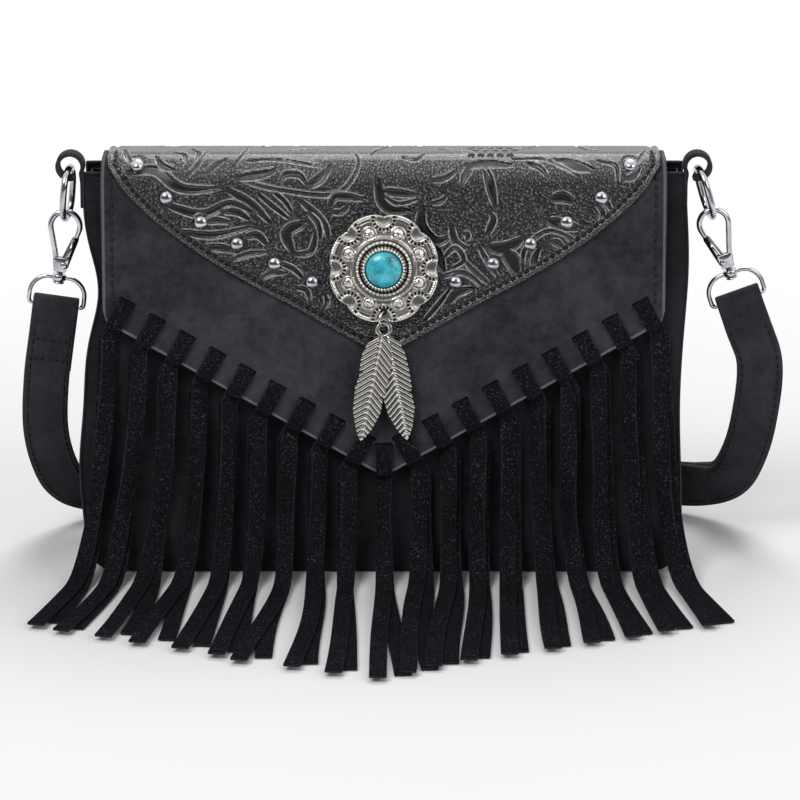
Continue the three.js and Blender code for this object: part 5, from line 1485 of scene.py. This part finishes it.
def panelGrid(inset, depth, rows, cols, top):
    # (x, z) over the rounded outline; the face leans back and sags inwards in slow hollows away from the seams
    v = np.linspace(0, 1, rows)
    z = inset + (top - inset) * (0.25 * v + 0.75 * v**1.6)
    x = np.linspace(-1, 1, cols)[None] * pouchHalf(z, inset)[:, None]
    z = np.broadcast_to(z[:, None], x.shape)
    free = smooth(halfWidth - inset - np.abs(x), 4, 46) * smooth(z, 6, 50)
    hollow = 0.55 + 0.25 * np.sin(x / 31 + 0.6) * np.cos(z / 27) + 0.2 * np.sin(x / 17 - z / 23)
    y = -bag["bottomDepth"] / 2 + lean * z + depth + pouch["sag"] * free * hollow
    return np.stack([x, y, z], -1)


def panelShape(flip):
    outer = panelGrid(0.0, 0.0, pouch["rows"], pouch["columns"], bag["height"])
    outer[..., 2] += pouch["rim"] * bag["wall"] * (1 - smooth(outer[..., 2], 0, 12))  # stands on its round rim
    inner = outer + bag["wall"] * backward
    return slab(slump(outer * flip), slump(inner * flip), pouch["rim"])


makePiece("frontPanel", panelShape(1), nubuck, "pouch", ["front_panel"])
makePiece("backPanel", panelShape(turnedRound), nubuck, "pouch", ["back_panel"])


def gussetGrid(inset, top, rows, cols, edge=0.0):
    # a U-shaped path round the outline, spread across the depth between the panels; its sides fold inwards
    # half-way up, most in the middle of the depth
    w, r = halfWidth - inset, bag["corner"] - inset
    line = roundedLine([(-w, top), (-w, inset), (w, inset), (w, top)], [0, r, r, 0], 6)
    s = np.linspace(0, np.linalg.norm(np.diff(line, axis=0), axis=1).sum(), rows)
    at, _ = alongLine(line, s)
    x, z = at[:, :1], at[:, 1:]
    t = np.linspace(-1, 1, cols)
    depth = bag["bottomDepth"] / 2 - lean * z - bag["wall"] - 0.3 - edge
    crease = smooth(z, *pouch["foldFrom"]) * (1 - smooth(z, *pouch["foldTo"])) * (1 - np.abs(t)) ** 1.4
    return np.stack(np.broadcast_arrays(x - np.sign(x) * pouch["fold"] * crease, depth * t, z), -1)


def gussetShape():
    grids = (gussetGrid(inset, bag["gussetTop"], pouch["gussetRows"], pouch["gussetColumns"])
             for inset in (0.0, bag["wall"]))
    return slab(*(slump(grid) for grid in grids), pouch["rim"])


makePiece("sideGusset", gussetShape(), nubuck, "pouch", ["gusset"])


def liningShape():  # front and back sheets and a U-shaped strip between them, clear of the sagging panels
    gap, top, wall = bag["wall"] + 0.3, bag["height"] - 3, pouch["lining"]
    outer = panelGrid(gap, gap + 0.2, pouch["liningRows"], pouch["liningColumns"], top)
    sheets = [slab(slump(outer * flip), slump((outer + wall * backward) * flip), 0.3) for flip in (1, turnedRound)]
    grids = (gussetGrid(inset, top, pouch["stripRows"], pouch["stripColumns"], 0.8)
             for inset in (gap, gap + wall))
    return joined(*sheets, slab(*(slump(grid) for grid in grids), 0.3))


makePiece("pouchLining", liningShape(), liningCloth, "pouch", ["lining"])


def mouthHem(flip):  # a row of stitches below a panel's top edge
    edge, z, count = halfWidth - pouch["hemInset"], bag["height"] - pouch["hemInset"], pouch["hemPoints"]
    path = onFront(np.linspace(-edge, edge, count), z, 0) * flip
    return stitches(slump(path), np.tile(frontOut * flip, (count, 1)), **pouch["thread"])


makePiece("panelStitching", joined(mouthHem(1), mouthHem(turnedRound)), blackThread, "pouch")
print("pouch made")
